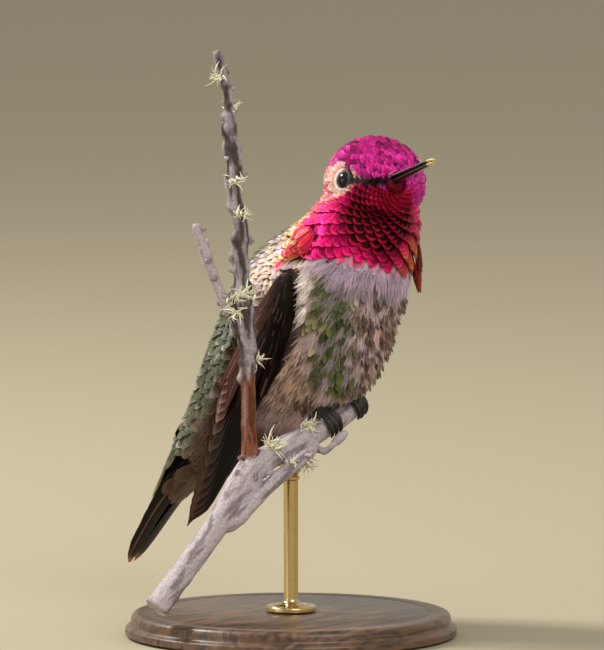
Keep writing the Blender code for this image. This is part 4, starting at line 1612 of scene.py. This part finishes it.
def on_twig(node, share, turn):
    """A place on a twig's bark, at a share of its length and degrees round it."""
    middle, long = PERCH_AXES[node]
    places = corners(node)
    run = (places - middle) @ long
    at = run.min() + (run.max() - run.min()) * share
    near = places[np.argsort(np.abs(run - at))[:24]]
    centre = near.mean(0)
    first = unit(np.cross(long, (0.3, 1.0, 0.1)))
    out = (first * math.cos(math.radians(turn))
           + np.cross(long, first) * math.sin(math.radians(turn)))
    hit = bark_tree.find_nearest(Vector(centre + out * 1.6 * MM))
    return np.array(hit[0]), out, long


SPUR_BEVEL = 0.09 * MM
SPURS = (("perch_upright", 13, 0.30, 0.97), ("perch_side_twig", 6, 0.15, 0.95),
         ("perch_branchlet", 5, 0.2, 0.9), ("perch_limb", 5, 0.45, 0.93))
bm = bmesh.new()
for node, count, first, last in SPURS:
    for i in range(count):
        share = first + (last - first) * (i + 0.3 * chance.random()) / (count - 0.5)
        start, out, long = on_twig(node, min(share, 0.98), chance.random() * 360)
        lean = unit(out + long * chance.uniform(0.1, 0.9))
        length = chance.uniform(0.7, 1.5) * MM
        matrix = facing(start + lean * length * 0.25, lean, long)
        made = bmesh.ops.create_cone(bm, cap_ends=True, segments=7,
                                     radius1=chance.uniform(0.45, 0.75) * MM,
                                     radius2=chance.uniform(0.15, 0.4) * MM,
                                     depth=length, matrix=matrix)
        bmesh.ops.bevel(bm, geom=edges_of(bm, made["verts"]), offset=SPUR_BEVEL,
                        segments=1, profile=0.5, affect="EDGES", material=-1)
spurs = mesh_from("twig_spurs", bm, bark_finish)
pale = smooth(-0.3, 0.5, mottle(places_of(spurs), 0.7 * MM))
colour_layer(spurs, "tint", paint(BARK_MID, pale, BARK_PALE))
spurs_piece = show("twig_spurs", spurs)
print("spurs:", sum(count for _, count, _, _ in SPURS))

# %% [markdown]
# ## Lichen
# Tufts of shrubby lichen grow on the twig: pale grey-green threads that fork and
# curl from one foothold. Each thread is a thin four-sided tube bent along a curl, and
# a tuft is a few dozen of them in every direction away from the bark.

# %% Curled threads in tufts
crust = Finish("lichen_thallus", 0.85)
lichen_finish = crust.done(crust.tones(crust.noise(1500.0), (0.62, 0.58, 0.40),
                                       (0.95, 0.92, 0.76)))
THREAD_RINGS, THREAD_SIDES = 6, 4


def thread_form():
    """One straight tapered thread, one unit long, to be curled later."""
    bm = bmesh.new()
    made = bmesh.ops.create_grid(bm, x_segments=THREAD_SIDES, y_segments=THREAD_RINGS,
                                 size=1.0)
    for vert in made["verts"]:
        turn = (vert.co.x + 1) * math.pi
        along = (vert.co.y + 1) / 2
        radius = 1.0 - 0.85 * along ** 1.5
        vert.co = (math.cos(turn) * radius, along, math.sin(turn) * radius)
    bmesh.ops.remove_doubles(bm, verts=bm.verts, dist=1e-4)
    bmesh.ops.edgeloop_fill(bm, edges=[e for e in bm.edges if e.is_boundary])
    return as_form(bm)


FORMS["thread"] = thread_form()


def tuft(start, out, count, long):
    """Threads from one foothold: their curled places."""
    across, along, rise = FORMS["thread"][0].T
    lean = unit(out + 0.75 * chance.normal(size=(count, 3)))
    curl = unit(np.cross(lean, chance.normal(size=(count, 3))))
    bend = chance.uniform(-1.6, 1.6, (count, 1, 1))
    length = long * chance.uniform(0.45, 1.0, (count, 1, 1))
    foot = start + 0.5 * MM * chance.normal(size=(count, 3)) * (1, 1, 0.6) - out * 0.2 * MM
    a = along[None, :, None]
    angle = bend * a
    centre = foot[:, None] + length * a * (
        lean[:, None] * np.cos(angle) + curl[:, None] * np.sin(angle))
    third = np.cross(lean, curl)
    thick = 0.21 * MM * chance.uniform(0.7, 1.3, (count, 1, 1))
    return centre + thick * (across[None, :, None] * third[:, None]
                             + rise[None, :, None] * curl[:, None])


LICHEN = (                              # twig, share, degrees, threads, length (mm)
    ("perch_limb", 0.60, 60, 46, 3.2), ("perch_limb", 0.66, 110, 52, 3.4),
    ("perch_limb", 0.74, 70, 46, 3.0), ("perch_limb", 0.53, 250, 26, 2.2),
    ("perch_upright", 0.86, 200, 30, 2.6), ("perch_upright", 0.92, 20, 22, 2.4),
    ("perch_upright", 0.68, 40, 22, 2.2), ("perch_upright", 0.60, 60, 20, 2.6),
    ("perch_upright", 0.40, 120, 44, 2.6), ("perch_upright", 0.36, 30, 34, 2.4),
    ("perch_upright", 0.22, 200, 18, 2.2), ("perch_side_twig", 0.2, 90, 16, 1.8),
    ("perch_branchlet", 0.7, 60, 14, 1.6))
thread_places = []
for node, share, turn, count, long in LICHEN:
    start, out, _ = on_twig(node, share, turn)
    thread_places.append(tuft(start, out, count, long * MM))
thread_places = np.concatenate(thread_places)
all_faces = copies("thread", len(thread_places))
mesh = bpy.data.meshes.new("lichen")
mesh.from_pydata(thread_places.reshape(-1, 3), [], all_faces)
mesh.shade_smooth()
mesh.materials.append(lichen_finish)
lichen = show("lichen", mesh)
print("lichen:", len(thread_places), "threads,", len(all_faces), "triangles")

# %% [markdown]
# ## Corners of the shield and the tail's coverts
# The shield ends on each side in a corner of longer, pointed feathers that hang free
# and shine orange and straw rather than pink. At the other end, small coverts hide
# the place where the tail joins the rump, green above and buff below.

# %% Pointed feathers on the corners
corner_finish = feather_finish("corner_gloss", 0.42, 0.35, 0.70, 0.95, 0.25, 12,
                               margin=0.9, Specular_IOR_Level=0.2)
CORNER_TONES = {"right": (ROSE, SCARLET, AMBER, STRAW),
                "left": (SCARLET, COPPER, (0.30, 0.06, 0.012), AMBER)}


def shingled_plan(rows, first, last, across, long, width, levels, spread=0.9,
                  step=0.05):
    """Rows of feathers down a flat solid, the upper rows over the lower ones.

    first and last are the shares of its length where the highest and lowest rows
    end, long is a feather's share of it, and width is in millimetres.
    """
    plan = []
    for level in levels:
        for row in range(rows):
            tip = last + (first - last) * row / (rows - 1)
            for i in range(across):
                chord = (i + 0.5 + 0.5 * (row % 2)) / (across + 0.5)
                ragged = 0.03 * chance.normal()
                plan.append((max(tip - long, 0.0), 0.5 + (chord - 0.5) * 0.7,
                             min(max(tip + ragged, 0.06), 1.0),
                             0.5 + (chord - 0.5) * spread, width, level,
                             (step * row + 0.02 + 0.07 * (i % 2))
                             * (1 if level > 0 else -1)))
    return np.array(plan)


for side, outward in (("right", (-1, -0.4, 0)), ("left", (-0.5, -1, 0))):
    solid = FlatSolid("gorget_" + side, outward)
    plan = shingled_plan(6, 0.50, 1.0, 5, 0.42, 1.05, (-0.5, 0.5), 1.0, 0.12)
    places = vanes_on(solid, plan, "lance")
    far = np.clip(plan[:, 2:3] + 0.2 * chance.normal(size=(len(plan), 1)), 0, 1)
    pick = chance.integers(0, 3, len(plan))
    tips = np.array(CORNER_TONES[side])[pick + 1]
    bases = np.array(CORNER_TONES[side])[pick]
    mixed = 0.6 + 0.6 * chance.random((len(plan), 1))
    grounds = (np.array(HOT_PINK) * (1 - far) + bases * far) * mixed
    rims = (np.array(ROSE) * (1 - far) + tips * far) * mixed
    piece = feather_piece("shield_corner_" + side, "lance", places, grounds, rims,
                          corner_finish)
    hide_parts("gorget_" + side)

# %% Coverts over and under the tail's root
plan = shingled_plan(5, 0.10, 0.50, 7, 0.30, 2.4, (0.98,))
upper = vanes_on(tail_solid, plan, "covert")
under_plan = shingled_plan(5, 0.10, 0.46, 6, 0.28, 2.4, (-0.98,))
under = vanes_on(tail_solid, under_plan, "covert")
places = np.concatenate((upper, under))
tone = chance.random((len(places), 1))
is_upper = (np.arange(len(places)) < len(upper))[:, None]
grounds = np.where(is_upper, np.array(HUMUS), np.array(UMBER)) * (0.7 + 0.6 * tone)
rims = np.where(is_upper, np.array(SAGE) * 1.4, np.array(BROWN)) * (0.7 + 0.8 * tone)
feather_piece("tail_coverts", "covert", places, grounds, rims, back_finish)

# %% [markdown]
# ## Feet
# The toes are thin and black, wrapped in ring-like scutes, and end in curved claws
# that hook into the bark. The scaly skin is cast over each solid foot and ribbed
# round the twig; each claw is a ring narrowed along an arc that goes on from its toe.

# %% Scaly toes and claws
scaly = Finish("foot_scutes", 0.5, Specular_IOR_Level=0.4)
scute = scaly.node("TexVoronoi", "Distance", {"Vector": scaly.place(),
                                              "Scale": 3600.0})
foot_finish = scaly.done(scaly.tones(scute, (0.030, 0.024, 0.022),
                                     (0.007, 0.006, 0.006)), scute, 0.5, 0.00006)
nail = Finish("claw_horn", 0.25, Coat_Weight=0.3)
claw_finish = nail.done(nail.tones(nail.noise(2500.0), (0.006, 0.005, 0.005),
                                   (0.030, 0.022, 0.018)))

SCUTE_TURN = math.radians(11)           # each scute's share of the way round the twig
TOE_SWELL, TOE_VOXEL, RIB = 0.03 * MM, 0.16 * MM, 0.05 * MM
CLAW_THICK, CLAW_RINGS = 0.34 * MM, 7
CLAW_REACH, CLAW_TURN, CLAW_BACK = 0.62 * MM, math.radians(30), math.radians(14)
TOES = ((-1.15, 122), (0.0, 130), (1.15, 122), (0.0, -110))  # mm along, degrees round


def limb_at(across):
    """The limb's middle and direction at a place across."""
    places = corners("perch_limb")

    def slice_middle(x):
        return places[np.argsort(np.abs(places[:, 0] - x))[:24]].mean(0)
    middle = slice_middle(across)
    along = unit(slice_middle(across + 2.5 * MM) - slice_middle(across - 2.5 * MM))
    return middle, along


for side in ("right", "left"):
    node = "foot_" + side
    foot_places = corners(node)
    middle, along = limb_at(float(np.median(foot_places[:, 0])))
    over = unit(np.array((0, 0, 1.0)) - along * along[2])
    front = np.cross(along, over)
    mesh = cast((node,), TOE_SWELL, TOE_VOXEL, 2)
    places, normals = places_of(mesh), normals_of(mesh)
    away = places - middle
    turn = np.arctan2(away @ front, away @ over)
    rib = RIB * np.abs(np.sin(math.pi * turn / SCUTE_TURN))
    move_vertices(mesh, places + normals * rib[:, None])
    mesh.materials.append(foot_finish)
    foot = show("toes_" + side, mesh)
    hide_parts(node)

    radius = np.linalg.norm(away - (away @ along)[:, None] * along, axis=1)
    reach = float(np.percentile(radius, 50))
    bm = bmesh.new()
    for shift, ends in TOES:
        sign = math.copysign(1, ends)
        rings = []
        for step in range(CLAW_RINGS):
            share = step / (CLAW_RINGS - 1)
            angle = math.radians(ends) + sign * (CLAW_TURN * share - CLAW_BACK)
            spoke = over * math.cos(angle) + front * math.sin(angle)
            tangent = (front * math.cos(angle) - over * math.sin(angle)) * sign
            thick = CLAW_THICK * (1 - 0.9 * share ** 1.4)
            lift = reach + 0.15 * MM * math.sin(math.pi * share) - CLAW_REACH * share ** 2
            rings.append((middle + along * shift * MM + spoke * lift,
                          along * thick * 0.8, np.cross(tangent, along) * thick))
        part = mesh_from("claw", drawn(rings, 8))
        bm.from_mesh(part)
        bpy.data.meshes.remove(part)
    claws = show("claws_" + side, mesh_from("claws_" + side, bm, claw_finish))
print("toes and claws:", len(TOES), "on each foot")

# %% [markdown]
# ## Display stand
# A museum would set the twig on a turned hardwood disc with a brass rod. The disc has
# a rounded shoulder, a small cove and a felt-thin foot; the rod stands in a domed
# flange with a groove and ends in a cup that holds the twig from below.

# %% Turned disc and rod
base_low, base_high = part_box("stand_base")
BASE_MIDDLE = (base_low + base_high) / 2
BASE_RADIUS, BASE_TOP = (base_high.x - base_low.x) / 2, base_high.z
SHARP = math.radians(40)                # edges keener than this stay crisp


def turned(profile, steps, middle):
    """Spin an outline of (radius, height) points once round an upright axis."""
    bm = bmesh.new()
    bmesh.ops.create_circle(bm, segments=len(profile), radius=1.0)
    bm.verts.ensure_lookup_table()
    for vert, (radius, height) in zip(bm.verts, profile):
        vert.co = (radius, 0, height)
    closing = [e for e in bm.edges if {v.index for v in e.verts} == {0, len(profile) - 1}]
    bmesh.ops.delete(bm, geom=closing, context="EDGES")
    spun(bm, steps)
    bmesh.ops.translate(bm, vec=(middle.x, middle.y, 0), verts=bm.verts)
    return bm


def quarter(radius, height, size, first, last, steps=5):
    """Points of a rounded edge about its middle, between two angles in degrees."""
    for i in range(steps + 1):
        angle = math.radians(first + (last - first) * i / steps)
        yield radius + size * math.cos(angle), height + size * math.sin(angle)


board = Finish("walnut_oiled", 0.42, Coat_Weight=0.25, Coat_Roughness=0.3)
figure = board.noise(620.0, 5.0, (0.16, 1.0, 1.0), distortion=1.2)
pores = board.noise(5200.0, 2.0, (0.16, 1.0, 1.0))
wood_finish = board.done(board.tones(figure, (0.035, 0.016, 0.008),
                                     (0.16, 0.078, 0.038), (0.36, 0.66)),
                         pores, 0.25, 0.00008)

r, h = BASE_RADIUS, BASE_TOP
disc = [(0, 0), (r - 1.0 * MM, 0), (r - 0.6 * MM, 0.25 * MM), (r, 0.45 * MM)]
disc += list(quarter(r - 0.45 * MM, 1.3 * MM, 0.45 * MM, 0, 80))
disc += list(quarter(r - 0.35 * MM, 2.45 * MM, 0.6 * MM, 250, 180))
disc += list(quarter(r - 2.0 * MM, h - 1.05 * MM, 1.05 * MM, 0, 90, 8))
disc += [(r - 4.2 * MM, h), (r - 4.5 * MM, h - 0.15 * MM), (r - 4.9 * MM, h), (0, h)]
base = show("base_turned", mesh_from("base_turned", turned(disc, 128, BASE_MIDDLE),
                                     wood_finish))
base.data.set_sharp_from_angle(angle=SHARP)
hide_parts("stand_base")

lathe = Finish("brass_lacquered", 0.24, Metallic=1.0, Coat_Weight=0.3)
turning = lathe.noise(9000.0, 2.0, (0.05, 0.05, 1.0))
brass_finish = lathe.done(lathe.tones(turning, (0.50, 0.34, 0.13), (0.68, 0.50, 0.22)),
                          turning, 0.15, 0.00004)

rod_low, rod_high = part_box("stand_rod")
ROD_MIDDLE = (rod_low + rod_high) / 2
FLANGE = (rod_high.x - rod_low.x) / 2
ROD, f, t = 1.2 * MM, rod_low.z, rod_high.z
outline = [(0, f), (FLANGE, f)]
outline += list(quarter(FLANGE - 0.35 * MM, f + 0.45 * MM, 0.35 * MM, 0, 90))
outline += [(FLANGE - 1.0 * MM, f + 0.80 * MM), (FLANGE - 1.15 * MM, f + 0.65 * MM),
            (FLANGE - 1.3 * MM, f + 0.80 * MM)]
outline += list(quarter(ROD + 0.9 * MM, f + 2.0 * MM, 0.9 * MM, 270, 180, 6))
outline += [(ROD, t - 4.6 * MM), (ROD * 1.2, t - 4.4 * MM), (ROD * 1.2, t - 4.0 * MM),
            (ROD, t - 3.8 * MM), (ROD * 1.5, t - 2.6 * MM), (ROD * 1.85, t - 1.6 * MM),
            (ROD * 1.85, t), (0, t - 0.4 * MM)]
rod = show("rod_turned", mesh_from("rod_turned", turned(outline, 40, ROD_MIDDLE),
                                   brass_finish))
rod.data.set_sharp_from_angle(angle=SHARP)
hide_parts("stand_rod")
print("base:", round(BASE_RADIUS * 2 / MM, 1), "mm across,", round(h / MM, 1), "mm high")
